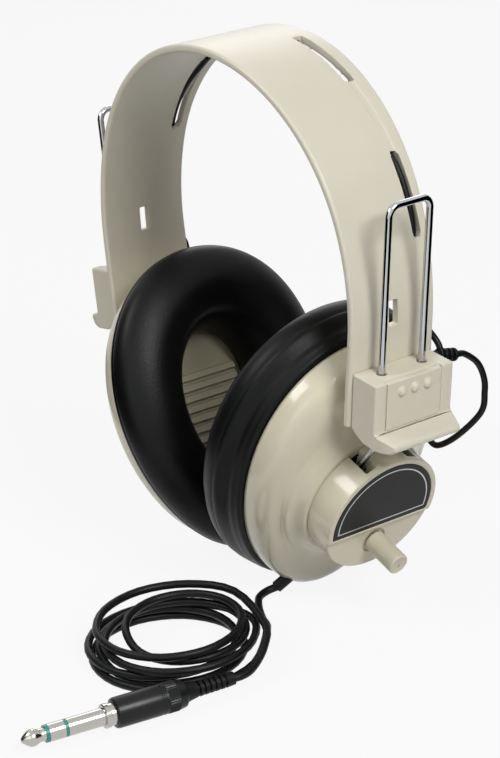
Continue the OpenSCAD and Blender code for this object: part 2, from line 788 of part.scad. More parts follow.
// The plug: boot, barrel, collar and the three contacts between their two insulators.
module turned(x0, x1, d0, d1) {
  in_plug() translate([x0, 0, 0]) rotate([0, 90, 0]) cylinder(h = x1 - x0, r1 = d0 / 2, r2 = d1 / 2);
}

module plug_boot() {
  color(vinyl) turned(0, boot_length, cord_d + 2, barrel_d - 3);
}

module plug_barrel() {
  color(vinyl) {
    turned(boot_length, boot_length + 3, barrel_d - 1, barrel_d);
    turned(boot_length + 3, collar_x, barrel_d, barrel_d);
  }
}

module plug_collar() {
  color(steel) turned(collar_x, finger_x, plug_d + 2.4, plug_d + 2.4);
}

module plug_sleeve() {
  color(steel) turned(finger_x, finger_x + sleeve_end, plug_d, plug_d);
}

module plug_ring() {
  color(steel) turned(finger_x + sleeve_end + gap, finger_x + ring_end, plug_d, plug_d);
}

module plug_tip() {
  color(steel) {
    turned(finger_x + ring_end + gap, finger_x + plug_length - 5, plug_d - 1.6, plug_d - 1.6);
    turned(finger_x + plug_length - 5, finger_x + plug_length - 3, plug_d - 1.6, plug_d);
    turned(finger_x + plug_length - 3, finger_x + plug_length, plug_d, 2);
  }
}

module plug_insulators() {
  color(teal) {
    turned(finger_x + sleeve_end, finger_x + sleeve_end + gap, plug_d, plug_d);
    turned(finger_x + ring_end, finger_x + ring_end + gap, plug_d, plug_d);
  }
}

headband();
band_cable();
right_housing();
right_cover();
right_friction_pad();
right_yoke();
right_shell();
right_cap();
right_plate();
right_plate_line();
right_baffle();
right_driver();
right_magnet();
right_cushion();
right_pot();
right_knob();
right_strain_relief();
right_drop();
right_loop_upper();
right_loop_lower();
right_grommet();
left_housing();
left_cover();
left_friction_pad();
left_yoke();
left_shell();
left_cap();
left_plate();
left_plate_line();
left_baffle();
left_driver();
left_magnet();
left_cushion();
left_pot();
left_knob();
left_strain_relief();
left_drop();
left_loop_upper();
left_loop_lower();
left_grommet();
cord_gland();
cord_lead();
cord_coil();
cord_tail();
plug_boot();
plug_barrel();
plug_collar();
plug_sleeve();
plug_ring();
plug_tip();
plug_insulators();
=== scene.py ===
# %% [markdown]
# # Radio headphones, dressed on their CAD frame
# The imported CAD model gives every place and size. This lesson puts finished surfaces on it:
# rounded mouldings, soft cushions, bent wire, cables and a turned plug. Lengths in the code are
# millimetres, as on a workshop drawing, and one factor turns them into Blender's metres.

# %% Load the frame
import json
import math
import bmesh
import bpy
import numpy as np
from mathutils import Matrix

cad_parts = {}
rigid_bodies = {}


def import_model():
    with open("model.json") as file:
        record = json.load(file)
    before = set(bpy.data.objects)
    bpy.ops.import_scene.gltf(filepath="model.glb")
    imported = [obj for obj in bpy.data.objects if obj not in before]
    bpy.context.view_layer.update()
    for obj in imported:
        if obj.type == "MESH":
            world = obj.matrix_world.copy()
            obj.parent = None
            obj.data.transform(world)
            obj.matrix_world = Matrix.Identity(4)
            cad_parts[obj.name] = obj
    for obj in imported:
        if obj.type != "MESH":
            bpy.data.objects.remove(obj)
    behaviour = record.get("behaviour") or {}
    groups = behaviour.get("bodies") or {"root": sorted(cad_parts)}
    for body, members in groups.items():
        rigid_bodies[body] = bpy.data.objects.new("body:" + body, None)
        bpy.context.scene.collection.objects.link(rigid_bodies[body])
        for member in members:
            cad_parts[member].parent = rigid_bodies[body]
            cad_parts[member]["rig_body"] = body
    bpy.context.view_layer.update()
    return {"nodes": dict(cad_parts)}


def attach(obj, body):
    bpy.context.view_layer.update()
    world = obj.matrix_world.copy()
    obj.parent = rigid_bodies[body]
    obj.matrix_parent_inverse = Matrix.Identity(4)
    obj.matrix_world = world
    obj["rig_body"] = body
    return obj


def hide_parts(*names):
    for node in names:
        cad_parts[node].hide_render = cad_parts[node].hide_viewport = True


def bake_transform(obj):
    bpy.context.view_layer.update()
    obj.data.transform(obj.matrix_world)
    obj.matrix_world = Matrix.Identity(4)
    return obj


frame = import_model()
MM = 0.001
SIDES = {"right": 1.0, "left": -1.0}

# %% [markdown]
# ## The camera
# A catalogue picture of a headset is taken with a long lens, so that the near cup does not look
# too big. The view could be matched by eye, but here it was solved from the strap's edges in the
# photograph: about 54 degrees round from the front, 21 degrees up, and rolled by three degrees.

# %% Camera
CROWN = np.array([0.0, 0.0, 206.7])
AROUND, ABOVE, ROLL = np.radians([53.77, 21.51, -2.795])
DISTANCE, SHIFT_RIGHT, SHIFT_UP = 904.35, -0.40, 122.94
FOCAL_PIXELS, LONG_SIDE_PIXELS, SENSOR = 2490.27, 758, 36.0

ahead = np.array([-np.sin(AROUND) * np.cos(ABOVE), np.cos(AROUND) * np.cos(ABOVE), -np.sin(ABOVE)])
level = np.array([np.cos(AROUND), np.sin(AROUND), 0.0])
upright = np.cross(level, ahead)
right = np.cos(ROLL) * level + np.sin(ROLL) * upright
up = np.cos(ROLL) * upright - np.sin(ROLL) * level
eye = CROWN - SHIFT_RIGHT * right - SHIFT_UP * up - DISTANCE * ahead

camera = bpy.data.objects.new("camera", bpy.data.cameras.new("camera"))
bpy.context.scene.collection.objects.link(camera)
camera.data.sensor_width = SENSOR
camera.data.lens = FOCAL_PIXELS * SENSOR / LONG_SIDE_PIXELS
camera.data.clip_end = 50
turn = Matrix([[*row] for row in np.stack([right, up, -ahead], 1)]).to_4x4()
camera.matrix_world = Matrix.Translation(eye * MM) @ turn
bpy.context.scene.camera = camera
print("lens %.1f mm" % camera.data.lens)

# %% [markdown]
# ## Finishes
# A finish is a small node tree on the Principled shader. It could be painted as an image, but
# these plastics, vinyls and platings carry no picture, only a faint unevenness, so noise is enough
# and has no seams. Colours are sRGB hex values, as a colour picker gives them, and one function
# turns them to linear light. Patterns read Object coordinates, which are metres, so a scale of
# 1000 / size gives one cell per size in millimetres.

# %% Helpers for finishes
def linear(code):
    """An sRGB hex value as linear RGBA: ((c + 0.055) / 1.055) ^ 2.4, and c / 12.92 near black."""
    c = np.array([int(code[i:i + 2], 16) for i in (1, 3, 5)]) / 255
    c = np.where(c <= 0.04045, c / 12.92, ((c + 0.055) / 1.055) ** 2.4)
    return (*c.tolist(), 1.0)


def add(tree, kind, inputs=None, **settings):
    """Adds a node; a value that is a node's output is linked, and any other is set."""
    node = tree.nodes.new(kind)
    for name, value in settings.items():
        setattr(node, name, value)
    for name, value in (inputs or {}).items():
        if isinstance(value, bpy.types.NodeSocket):
            tree.links.new(value, node.inputs[name])
        else:
            node.inputs[name].default_value = value
    return node


def finish(name, **sockets):
    """A new material with its Principled shader set; gives the tree, shader and coordinates."""
    material = bpy.data.materials.new(name)
    material.use_nodes = True
    tree = material.node_tree
    shader = tree.nodes["Principled BSDF"]
    for key, value in sockets.items():
        shader.inputs[key.replace("_", " ")].default_value = value
    where = add(tree, "ShaderNodeTexCoord").outputs["Object"]
    return material, tree, shader, where


def feed(tree, shader, **outputs):
    """Links node outputs to the shader's inputs of those names."""
    for key, output in outputs.items():
        tree.links.new(output, shader.inputs[key.replace("_", " ")])


print("beige in linear light:", np.round(linear("#D4CEBB")[:3], 3))

# %% [markdown]
# ### Moulded plastics
# The strap, housings and shells are ABS, shot into steel moulds. Such plastic shows three things:
# a colour that drifts where the melt flowed, a gloss that drifts with the polish of the steel, and
# the steel's own grain. One function makes all of them from three noises, and only colours,
# roughness and grain differ. Real grain is near 0.1 mm, too fine to show in the picture, so it is
# drawn from 0.5 mm up.

# %% Moulded plastics
FLOW, POLISH = 26, 9


def moulded(name, dark, pale, rough, grain, depth, shine=0.4):
    """ABS from a steel mould: colour between dark and pale by a slow noise, roughness about rough
    by a quicker one, and a bump of that depth from grains of that size in millimetres."""
    material, tree, shader, where = finish(name, IOR=1.53, Specular_IOR_Level=shine)
    flow, polish, steel = (
        add(tree, "ShaderNodeTexNoise",
            {"Vector": where, "Scale": 1000 / size, "Detail": detail}).outputs["Fac"]
        for size, detail in ((FLOW, 3.0), (POLISH, 2.0), (grain, 1.0)))
    colour = add(tree, "ShaderNodeMix", {"Factor": flow, 6: linear(dark), 7: linear(pale)},
                 data_type="RGBA")
    sheen = add(tree, "ShaderNodeMapRange",
                {"Value": polish, "To Min": rough - 0.04, "To Max": rough + 0.05})
    bump = add(tree, "ShaderNodeBump", {"Height": steel, "Distance": depth * MM, "Strength": 1.0})
    feed(tree, shader, Base_Color=colour.outputs[2], Roughness=sheen.outputs["Result"],
         Normal=bump.outputs["Normal"])
    return material


# Strap and housings, from a blasted mould: a dry, even sheen that follows the bend of the strip.
BEIGE_SATIN = moulded("moulded_abs_satin", "#D4CEBB", "#DAD5C4", 0.38, 0.9, 0.006)
# Shells, from a polished mould: the lamps show on the dome as patches with edges.
BEIGE_GLOSS = moulded("moulded_abs_gloss", "#D2CBB3", "#D9D3BD", 0.13, 2.2, 0.006)
# Knob, from a coarser mould: its highlights spread wide.
BEIGE_KNOB = moulded("moulded_abs_knob", "#CFC7B0", "#D6CFBA", 0.40, 0.5, 0.02)
# Louvres, baffle and knob mark: greyer than the shell as painted shade, and duller.
BEIGE_PAINTED_SHADE = moulded("moulded_abs_painted_shade", "#B3AD93", "#BEB89F", 0.42, 1.2, 0.02)
# Boss plate, printed with matt ink: a flat black with no clear reflection.
PLATE_BLACK = moulded("printed_plate_black", "#141515", "#191A1A", 0.46, 0.6, 0.012, 0.2)
# Plug barrel, pressed phenolic: black with one soft line of light along it.
BARREL_BLACK = moulded("phenolic_barrel_black", "#131416", "#1A1B1D", 0.30, 0.8, 0.015, 0.25)
# Loudspeaker cone, pressed paper: fibrous and without shine.
CONE_PAPER = moulded("pressed_paper_cone", "#1B1A18", "#26241F", 0.75, 1.0, 0.08)
# Insulating rings, turned nylon: clear colour with small bright highlights.
TEAL_NYLON = moulded("nylon_insulator_teal", "#158576", "#22A391", 0.28, 1.5, 0.01)
print("materials with plastics:", len(bpy.data.materials))

# %% [markdown]
# ### Vinyl, rubber and cable jackets
# The cushions are soft PVC sheet, pebbled by a roller, and the cables and the boot are PVC and
# rubber with the dull skin that a die or a mould leaves. A plain black would look like a hole, so
# the highlight does the work: weak, broad, and broken by a pebble of rounded cells. The real
# pebble is about 0.4 mm and is drawn near 1 mm, so that it shows.

# %% Vinyl, rubber and cable jackets
DRIFT, WIPE = 18, 7


def skin(name, dark, pale, rough, grain, depth):
    """Soft PVC: near black by a slow noise, roughness about rough by a quicker one, and a bump of
    that depth from rounded cells of that size in millimetres."""
    material, tree, shader, where = finish(name, IOR=1.5, Specular_IOR_Level=0.19)
    drift, wipe = (
        add(tree, "ShaderNodeTexNoise",
            {"Vector": where, "Scale": 1000 / size, "Detail": detail}).outputs["Fac"]
        for size, detail in ((DRIFT, 3.0), (WIPE, 2.0)))
    pebble = add(tree, "ShaderNodeTexVoronoi", {"Vector": where, "Scale": 1000 / grain},
                 feature="SMOOTH_F1").outputs["Distance"]
    colour = add(tree, "ShaderNodeMix", {"Factor": drift, 6: linear(dark), 7: linear(pale)},
                 data_type="RGBA")
    sheen = add(tree, "ShaderNodeMapRange",
                {"Value": wipe, "To Min": rough - 0.05, "To Max": rough + 0.06})
    bump = add(tree, "ShaderNodeBump", {"Height": pebble, "Distance": depth * MM, "Strength": 1.0})
    feed(tree, shader, Base_Color=colour.outputs[2], Roughness=sheen.outputs["Result"],
         Normal=bump.outputs["Normal"])
    return material


# Cushions, soft vinyl sheet: deep black that goes grey only where it turns to the light.
PAD_VINYL = skin("soft_vinyl_pad", "#070808", "#0D0E0E", 0.42, 1.1, 0.035)
# Cables, extruded PVC: one thin dull line of light along every turn.
CORD_PVC = skin("pvc_cord_jacket", "#0D0E10", "#141517", 0.40, 1.6, 0.02)
# Boot, reliefs and grommets, moulded rubber: duller still.
GRIP_RUBBER = skin("moulded_rubber", "#0C0D0D", "#131414", 0.46, 0.9, 0.03)
print("materials with vinyl and rubber:", len(bpy.data.materials))

# %% [markdown]
# ### Plated metals
# Chrome on the wire and nickel on the plug are mirrors: what the eye sees is the room. Their look
# is therefore made mostly by the stage at the end of this lesson. The finish itself only sets how
# much light comes back and how far faint polishing marks blur it. Such marks are hundredths of a
# millimetre wide; here they are 2 to 3 mm, so that the blur varies visibly.

# %% Plated metals
CLOUDING = 12


def plated(name, dark, pale, low, high, streak):
    """A bright plate: colour between dark and pale by a slow noise, and roughness between low and
    high by marks of that size in millimetres."""
    material, tree, shader, where = finish(name, Metallic=1.0)
    clouding, marks = (
        add(tree, "ShaderNodeTexNoise",
            {"Vector": where, "Scale": 1000 / size, "Detail": detail}).outputs["Fac"]
        for size, detail in ((CLOUDING, 2.0), (streak, 4.0)))
    colour = add(tree, "ShaderNodeMix", {"Factor": clouding, 6: linear(dark), 7: linear(pale)},
                 data_type="RGBA")
    sheen = add(tree, "ShaderNodeMapRange", {"Value": marks, "To Min": low, "To Max": high})
    feed(tree, shader, Base_Color=colour.outputs[2], Roughness=sheen.outputs["Result"])
    return material


# Yoke wire, polished chrome plate: hard bright and black lines along the wire.
CHROME = plated("chrome_plated_wire", "#B6B9BD", "#CACCCF", 0.04, 0.09, 3)
# Plug contacts, nickel plate on brass: warmer and softer than chrome.
NICKEL = plated("nickel_plated_brass", "#B2B0A9", "#C4C2BC", 0.14, 0.24, 2)
# Hidden magnet and control, zinc plate: grey with a dull gleam.
STEEL = plated("zinc_plated_steel", "#A9ABAC", "#BBBDBE", 0.3, 0.42, 2)
# Border of the boss plate, silver ink: a pale line without sparkle.
SILVER_INK = plated("silver_line_ink", "#C3C5C5", "#CED0D0", 0.34, 0.42, 2)
print("materials with metals:", len(bpy.data.materials))

# %% [markdown]
# ## Grids and pieces
# Each new piece is a grid of points worked out with numpy: rows along one parameter, columns
# along the other. Modelling by hand would do, but a formula gives both sides of the headset alike
# and can be read again later. These helpers turn a grid into faces and hand a mesh to the frame.

# %% Grids
def quads(rows, columns, closed_rows=False):
    """Faces of a grid whose columns close into a ring. Point (i, j) has the number i * columns + j,
    and a face joins (i, j), (i, j + 1), (i + 1, j + 1) and (i + 1, j)."""
    i = np.arange(rows if closed_rows else rows - 1)[:, None]
    j = np.arange(columns)[None, :]
    k, m = (i + 1) % rows, (j + 1) % columns
    ring = [i * columns + j, i * columns + m, k * columns + m, k * columns + j]
    return np.stack(np.broadcast_arrays(*ring), -1).reshape(-1, 4).tolist()


def capped(rows, columns):
    """Faces of a tube of rings with a flat face at each end."""
    last = (rows - 1) * columns
    return quads(rows, columns) + [list(range(columns))[::-1], list(range(last, last + columns))]


print("faces on a ring of 3 rows and 8 columns:", len(quads(3, 8)))

# %% [markdown]
# A grid becomes a piece in four moves: merge doubled points, turn the faces outwards, shade it
# smooth, and ride it on its body, with the CAD node it stands for hidden. Every piece
# needs all four, so one function does them. The right side is drawn and the left is its mirror
# image, which is why the faces are turned outwards after the points are placed.

# %% Pieces
def piece(name, points, faces, body, material, replaces=(), subdivide=0, sharp=None):
    """Makes a mesh from millimetre points, rides it on its body and gives it its finish."""
    mesh = bpy.data.meshes.new(name)
    mesh.from_pydata((np.asarray(points).reshape(-1, 3) * MM).tolist(), [], faces)
    work = bmesh.new()
    work.from_mesh(mesh)
    bmesh.ops.remove_doubles(work, verts=work.verts, dist=1e-7)
    bmesh.ops.recalc_face_normals(work, faces=work.faces)
    work.to_mesh(mesh)
    work.free()
    mesh.shade_smooth()
    if sharp:
        mesh.set_sharp_from_angle(angle=math.radians(sharp))
    thing = bpy.data.objects.new(name, mesh)
    bpy.context.scene.collection.objects.link(thing)
    mesh.materials.append(material)
    if subdivide:
        smooth = thing.modifiers.new("subdivision", "SUBSURF")
        smooth.levels = smooth.render_levels = subdivide
    if body:
        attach(thing, body)
    if replaces:
        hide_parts(*replaces)
    return thing


def side_of(points, sign):
    """The right-hand piece's points, or for the left their mirror image, x' = -x."""
    return np.asarray(points) * np.array([sign, 1.0, 1.0])


print("mirrored point:", side_of([1.0, 2.0, 3.0], SIDES["left"]))

# %% [markdown]
# ## Paths
# Cables hang in easy curves and wire is bent round a former. So there are two kinds of path: a
# smooth curve, which goes through every given point, and a line whose corners are arcs. Curve
# objects could make both, but points in numpy can also be measured and mirrored.

# %% Paths
def smooth_path(points, steps):
    """A smooth curve through the points, with that many steps between two of them: each stretch is
    a cubic whose slope at a point is half the way from the point before to the point after."""
    p = np.asarray(points, float)
    p = np.vstack([p[:1], p, p[-1:]])
    t = np.linspace(0, 1, steps, endpoint=False)[None, :, None]
    a, b, c, d = (p[i:len(p) - 3 + i][:, None] for i in range(4))
    curve = b + 0.5 * t * ((c - a) + t * ((2 * a - 5 * b + 4 * c - d) + t * (3 * (b - c) + d - a)))
    return np.vstack([curve.reshape(-1, 3), p[-1:]])


def rounded_path(points, radii, steps=10):
    """A line whose inner corners are arcs of the given radii: each centre lies on the corner's
    bisector at radius / sin(half angle), and the arc turns between the two points of touch."""
    p = np.asarray(points, float)
    rows = [p[:1]]
    for before, corner, after, radius in zip(p, p[1:], p[2:], radii):
        a = (before - corner) / np.linalg.norm(before - corner)
        b = (after - corner) / np.linalg.norm(after - corner)
        half = np.arccos(np.clip(a @ b, -1, 1)) / 2
        middle = corner + (a + b) / np.linalg.norm(a + b) * radius / np.sin(half)
        first = corner + a * radius / np.tan(half) - middle
        last = corner + b * radius / np.tan(half) - middle
        t = np.linspace(0, 1, steps)[:, None]
        sweep = np.pi - 2 * half
        arc = (np.sin((1 - t) * sweep) * first + np.sin(t * sweep) * last) / np.sin(sweep)
        rows.append(middle + arc)
    return np.vstack(rows + [p[-1:]])


print("points on a path of 4 points:", len(smooth_path(np.eye(4, 3), 8)))

# %% [markdown]
# ## Tubes and turned pieces
# A tube is a ring carried along a path, for wire and cable. A turned piece is a profile spun about
# an axis, as on a lathe, for the knob, the plug and the strain reliefs. Both are grids, so the same
# faces serve.

# %% Tubes and turned pieces
def frames(path):
    """Two directions across a path at each point, carried along it without twist: the last side
    direction less its part along the path."""
    run = np.gradient(path, axis=0)
    run /= np.linalg.norm(run, axis=1)[:, None]
    side = np.zeros_like(path)
    start = np.cross(run[0], np.eye(3)[np.argmin(np.abs(run[0]))])
    for i, t in enumerate(run):
        start = start - t * (start @ t)
        start /= np.linalg.norm(start)
        side[i] = start
    return side, np.cross(run, side)


def tube(path, radius, around=16):
    """Rings of that radius across a path: centre + r (cos a side + sin a other)."""
    side, other = frames(path)
    a = np.linspace(0, 2 * np.pi, around, endpoint=False)[None, :, None]
    r = np.broadcast_to(radius, len(path))[:, None, None]
    rings = path[:, None] + r * (np.cos(a) * side[:, None] + np.sin(a) * other[:, None])
    return rings.reshape(-1, 3), capped(len(path), around)


def turned(start, end, profile, around=32):
    """A profile spun about the line from start towards end, in rows of (millimetres along it,
    radius): start + along * axis + radius (cos a side + sin a other)."""
    start, end = np.asarray(start, float), np.asarray(end, float)
    axis = (end - start) / np.linalg.norm(end - start)
    side = np.cross(axis, np.eye(3)[np.argmin(np.abs(axis))])
    side /= np.linalg.norm(side)
    other = np.cross(axis, side)
    profile = np.asarray(profile, float)
    a = np.linspace(0, 2 * np.pi, around, endpoint=False)[None, :, None]
    rings = (start + profile[:, None, :1] * axis
             + profile[:, None, 1:] * (np.cos(a) * side + np.sin(a) * other))
    return rings.reshape(-1, 3), capped(len(profile), around)


print("points on a disc-ended pin:", len(turned([0, 0, 0], [1, 0, 0], [(0, 1), (5, 1)])[0]))

# %% [markdown]
# ## The cord
# The cord leaves a gland under the right cup, drops to the table and lies there in a loose coil of
# about six turns before it reaches the plug. A rope simulation could lay it, but would lie
# differently at every change. So each layer of the coil is a flat spiral, one cord's width above
# the last, and its limits were searched for turns that cross without touching.

# %% The cord's route
CORD_R = 1.5
COIL_X, COIL_Y, COIL_START = 41.0, -77.0, math.radians(55)
SPIRAL_LIMITS = [32.36, 24.34, 30.74, 19.66, 32.44]
TURNS_PER_LAYER, LAYER_RISE, WANDER = 1.5, 3.15, 3.35
PLUG = np.array([79.0, -78.2, 5.5])
PLUG_YAW = math.radians(-99)
PLUG_AXIS = np.array([math.cos(PLUG_YAW), math.sin(PLUG_YAW), 0.0])
GLAND_END = np.array([28.4, -20.0, 3.0])


def coil():
    """Layers of loose spirals. The angle falls steadily, the radius runs between one limit and the
    next in each layer, the centre wanders, and the height rises by one cord's width where the
    spiral turns back: x = cx + r cos a + wander, y = cy + r sin a + wander."""
    layers = len(SPIRAL_LIMITS) - 1
    a = np.linspace(0, TURNS_PER_LAYER * layers * 0.997, 240)
    layer = np.floor(a / TURNS_PER_LAYER)
    share = a / TURNS_PER_LAYER - layer
    radius = np.interp(a / TURNS_PER_LAYER, range(layers + 1), SPIRAL_LIMITS)
    step = np.clip((share - 0.88) / 0.12, 0, 1) * (layer < layers - 1)
    angle = COIL_START - 2 * np.pi * a
    level_up = layer + step * step * (3 - 2 * step)
    height = CORD_R + 0.05 + LAYER_RISE * level_up * (1.1 + 0.1 * np.sin(angle))
    wander = WANDER * np.sin(np.pi * a / (TURNS_PER_LAYER * layers))
    return np.stack([COIL_X + radius * np.cos(angle) + wander * np.cos(1.6 * a),
                     COIL_Y + radius * np.sin(angle) + wander * np.sin(0.85 * a + 3.56), height], 1)


# The lead drops from the gland to the table; the last arc comes down outside the coil to the plug.
lead = [GLAND_END, [27.2, -23.4, 2.1], [27.8, -27.1, 1.6], [30.2, -30.1, 1.55], [36.5, -34.6, 1.55],
        [44, -38.6, 1.55], [52, -42.8, 1.55]]
arc = np.radians([47.8, 29.0, 14.8])
reach = np.array([33.4, 36.2, 37.6])
leave = np.stack([COIL_X + reach * np.cos(arc), COIL_Y + reach * np.sin(arc), [12.0, 9.4, 6.3]], 1)
tail = np.vstack([leave, [PLUG - 4 * PLUG_AXIS, PLUG + 4 * PLUG_AXIS, PLUG + 28 * PLUG_AXIS]])
route = smooth_path(np.vstack([lead, coil()[3:-3:4], tail]), 4)

# %% [markdown]
# A curve with a round bevel is the plainest cord in Blender: the route stays editable, and the
# jacket follows it. It rides on the right cup, where its gland is.

# %% The cord as a curve
line = bpy.data.curves.new("cord", "CURVE")
line.dimensions = "3D"
line.bevel_depth = CORD_R * MM
line.bevel_resolution = 4
line.use_fill_caps = True
spline = line.splines.new("POLY")
spline.points.add(len(route) - 1)
spline.points.foreach_set("co", np.hstack([route * MM, np.ones((len(route), 1))]).ravel())
spline.use_smooth = True

cord = bpy.data.objects.new("cord", line)
bpy.context.scene.collection.objects.link(cord)
line.materials.append(CORD_PVC)
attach(cord, "right_cup")
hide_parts("cord_lead", "cord_coil", "cord_tail")

print("cord points:", len(spline.points))

# %% [markdown]
# ## The plug
# A jack plug is lathe work: boot, barrel, collar, sleeve, ring and tip share one axis. So every
# piece is a list of distances along that axis and radii. The boot is cut by ring slots so that it
# bends, and the barrel has a knurled band, which is a radius that waves as the angle goes round.

# %% The plug's shape
def along(x):
    """The place at a distance along the plug from the end of its boot."""
    return PLUG + x * PLUG_AXIS


def on_plug(name, profile, node, material, around=40, flutes=0, depth=0.0):
    """A turned piece of the plug. Rows given with a third value are knurled by that share: their
    radius becomes r (1 + depth * share * cos(flutes * a))."""
    rows = np.array([[*row, 0.0][:3] for row in profile])
    points, faces = turned(along(0), along(1), rows[:, :2], around)
    if flutes:
        points = points.reshape(len(rows), around, 3)
        middle = along(0) + rows[:, :1] * PLUG_AXIS
        wave = 1 + depth * rows[:, 2:] * np.cos(flutes * np.arange(around) * 2 * np.pi / around)
        points = middle[:, None] + (points - middle[:, None]) * wave[:, :, None]
    return piece(name, points, faces, "right_cup", material, [node], sharp=35)


boot = [(0, 1.9), (0.2, 2.4), (3.4, 2.62)]
for i in range(6):
    x = 3.6 + i * 2.1
    boot += [(x, 2.64 + 0.05 * i), (x + 0.1, 1.85), (x + 0.9, 1.85), (x + 1.0, 2.68 + 0.05 * i)]
boot += [(16.2, 3.1), (18.4, 3.5), (19.6, 3.9), (20, 4.0)]
barrel = [(20, 4.6), (20.3, 4.95), (21.2, 5.15), (23.2, 5.42), (23.4, 5.42, 1), (27.2, 5.42, 1),
          (27.4, 5.3), (28, 5.3), (28.2, 5.5), (28.9, 5.5), (29.1, 5.32), (29.7, 5.32), (29.9, 5.5),
          (45.8, 5.5), (46.6, 5.3), (47, 4.7)]
collar = [(47, 3.6), (47, 4.0), (48.8, 4.0), (49, 4.3), (50.6, 4.37), (50.9, 4.1), (51, 3.4)]
FRONT = 51.0
tip = [(FRONT + x, r) for x, r in [
    (21.74, 2.4), (23.2, 2.35), (24.3, 2.4), (25.4, 2.95), (26.6, 3.1), (27.6, 2.9), (28.9, 2.0),
    (29.9, 1.2), (30.4, 0.6), (30.5, 0.2)]]

print("plug length %.1f mm" % tip[-1][0])

# %% [markdown]
# The real plug is screwed together from a rubber boot, a black barrel and nickel contacts with
# nylon rings between them. One mesh with painted bands would do for a far view, but separate
# pieces give each joint its own edge.

# %% The plug's pieces
plug = [
    on_plug("boot", boot, "plug_boot", GRIP_RUBBER),
    on_plug("barrel", barrel, "plug_barrel", BARREL_BLACK, 160, 40, 0.03),
    on_plug("collar", collar, "plug_collar", NICKEL),
    on_plug("sleeve", [(FRONT, 3.0), (FRONT, 3.175), (FRONT + 13.6, 3.175), (FRONT + 13.725, 3.05)],
            "plug_sleeve", NICKEL),
    on_plug("ring", [(FRONT + 14.725, 3.05), (FRONT + 14.85, 3.175), (FRONT + 20.62, 3.175),
                     (FRONT + 20.74, 3.05)], "plug_ring", NICKEL),
    on_plug("tip", tip, "plug_tip", NICKEL),
    on_plug("insulator_inner", [(FRONT + 13.725, 3.13), (FRONT + 14.725, 3.13)], "plug_insulators",
            TEAL_NYLON),
    on_plug("insulator_outer", [(FRONT + 20.74, 3.13), (FRONT + 21.74, 3.13)], "plug_insulators",
            TEAL_NYLON),
]

print("plug pieces:", len(plug))

# %% [markdown]
# ## Two local frames
# The slider housing, its wire and the strap end share one frame, which leans by six degrees. Each
# ear cup has another, which leans by twenty: u runs out along its axis and w up its face. Shapes
# are drawn straight in these frames and leant at the end, as a draughtsman turns the paper.

# %% Local frames
END_X, END_Z, LEAN = 75.934, 115.244, math.radians(6)
CUP_X, CUP_Z, TILT = 68.8, 40.7, math.radians(20)


def placed(points, x0, z0, angle):
    """Turns points about Y and moves them: x' = x cos + z sin, z' = z cos - x sin."""
    x, y, z = np.moveaxis(np.asarray(points, float), -1, 0)
    c, s = math.cos(angle), math.sin(angle)
    return np.stack([x0 + x * c + z * s, y, z0 - x * s + z * c], -1)


def in_end(points):
    """From the strap end's frame to the headset's."""
    return placed(points, END_X, END_Z, LEAN)


def in_cup(points):
    """From the right cup's frame (u, y, w) to the headset's."""
    return placed(points, CUP_X, CUP_Z, TILT)


print("cup axis passes", in_cup([0, 0, 0]))

# %% [markdown]
# ## Moulded edges
# No moulding has a knife edge: the cutter that makes the mould leaves a radius. The Bevel modifier
# gives every sharp edge that radius and catches the thin line of light that tells plastic from
# paper. Weighted normals keep the flats beside it flat. The result is baked into the mesh, so
# that the mesh holds what is seen.

# %% Baking and softening
def baked(thing):
    """The object's mesh with its modifiers worked in."""
    ready = bpy.data.meshes.new_from_object(
        thing.evaluated_get(bpy.context.evaluated_depsgraph_get()))
    thing.modifiers.clear()
    thing.data = ready
    return thing


def soften(thing, width, segments=3, angle=35):
    """Rounds every edge sharper than the angle and evens the shading of the flats beside it."""
    bevel = thing.modifiers.new("rounding", "BEVEL")
    bevel.width = width * MM
    bevel.segments = segments
    bevel.limit_method = "ANGLE"
    bevel.angle_limit = math.radians(angle)
    bevel.use_clamp_overlap = False
    bevel.miter_outer = "MITER_ARC"
    even = thing.modifiers.new("even", "WEIGHTED_NORMAL")
    even.keep_sharp = False
    return baked(thing)


WELD, FLAT = 0.002, 0.6


def moulding(node, name, width, material):
    """A CAD node's shape as a moulding, its edges rounded by that width in millimetres."""
    source = frame["nodes"][node]
    mesh = bpy.data.meshes.new(name)
    work = bmesh.new()
    work.from_mesh(source.data)
    bmesh.ops.remove_doubles(work, verts=work.verts, dist=WELD * MM)
    bmesh.ops.dissolve_limit(work, angle_limit=math.radians(FLAT), verts=work.verts,
                             edges=work.edges)
    work.to_mesh(mesh)
    work.free()
    mesh.shade_smooth()
    thing = bpy.data.objects.new(name, mesh)
    bpy.context.scene.collection.objects.link(thing)
    mesh.materials.clear()
    mesh.materials.append(material)
    soften(thing, width)
    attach(thing, source["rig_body"])
    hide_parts(node)
    return thing


print("solids in the frame:", len(frame["nodes"]))

# %% [markdown]
# ## The strap
# The strap is a sprung plastic strip bent in three arcs, with straight ends. A flat strip with a
# bend modifier could make one arc, but these have different radii, so the middle line is written
# out and a section is carried along it. The strip narrows from the crown: its half width falls
# with the square of the distance from the middle.

# %% The strap's line
CROWN_R, CROWN_TURN, CROWN_Z = 75.5, 72.0, 131.2
SIDE_R, SIDE_TURN, SIDE_X, SIDE_Z = 95.0, 96.0, -18.546, 125.174
THICK, CROWN_WIDTH, TAPER, END_RUN = 3.0, 43.6, 2100, 129


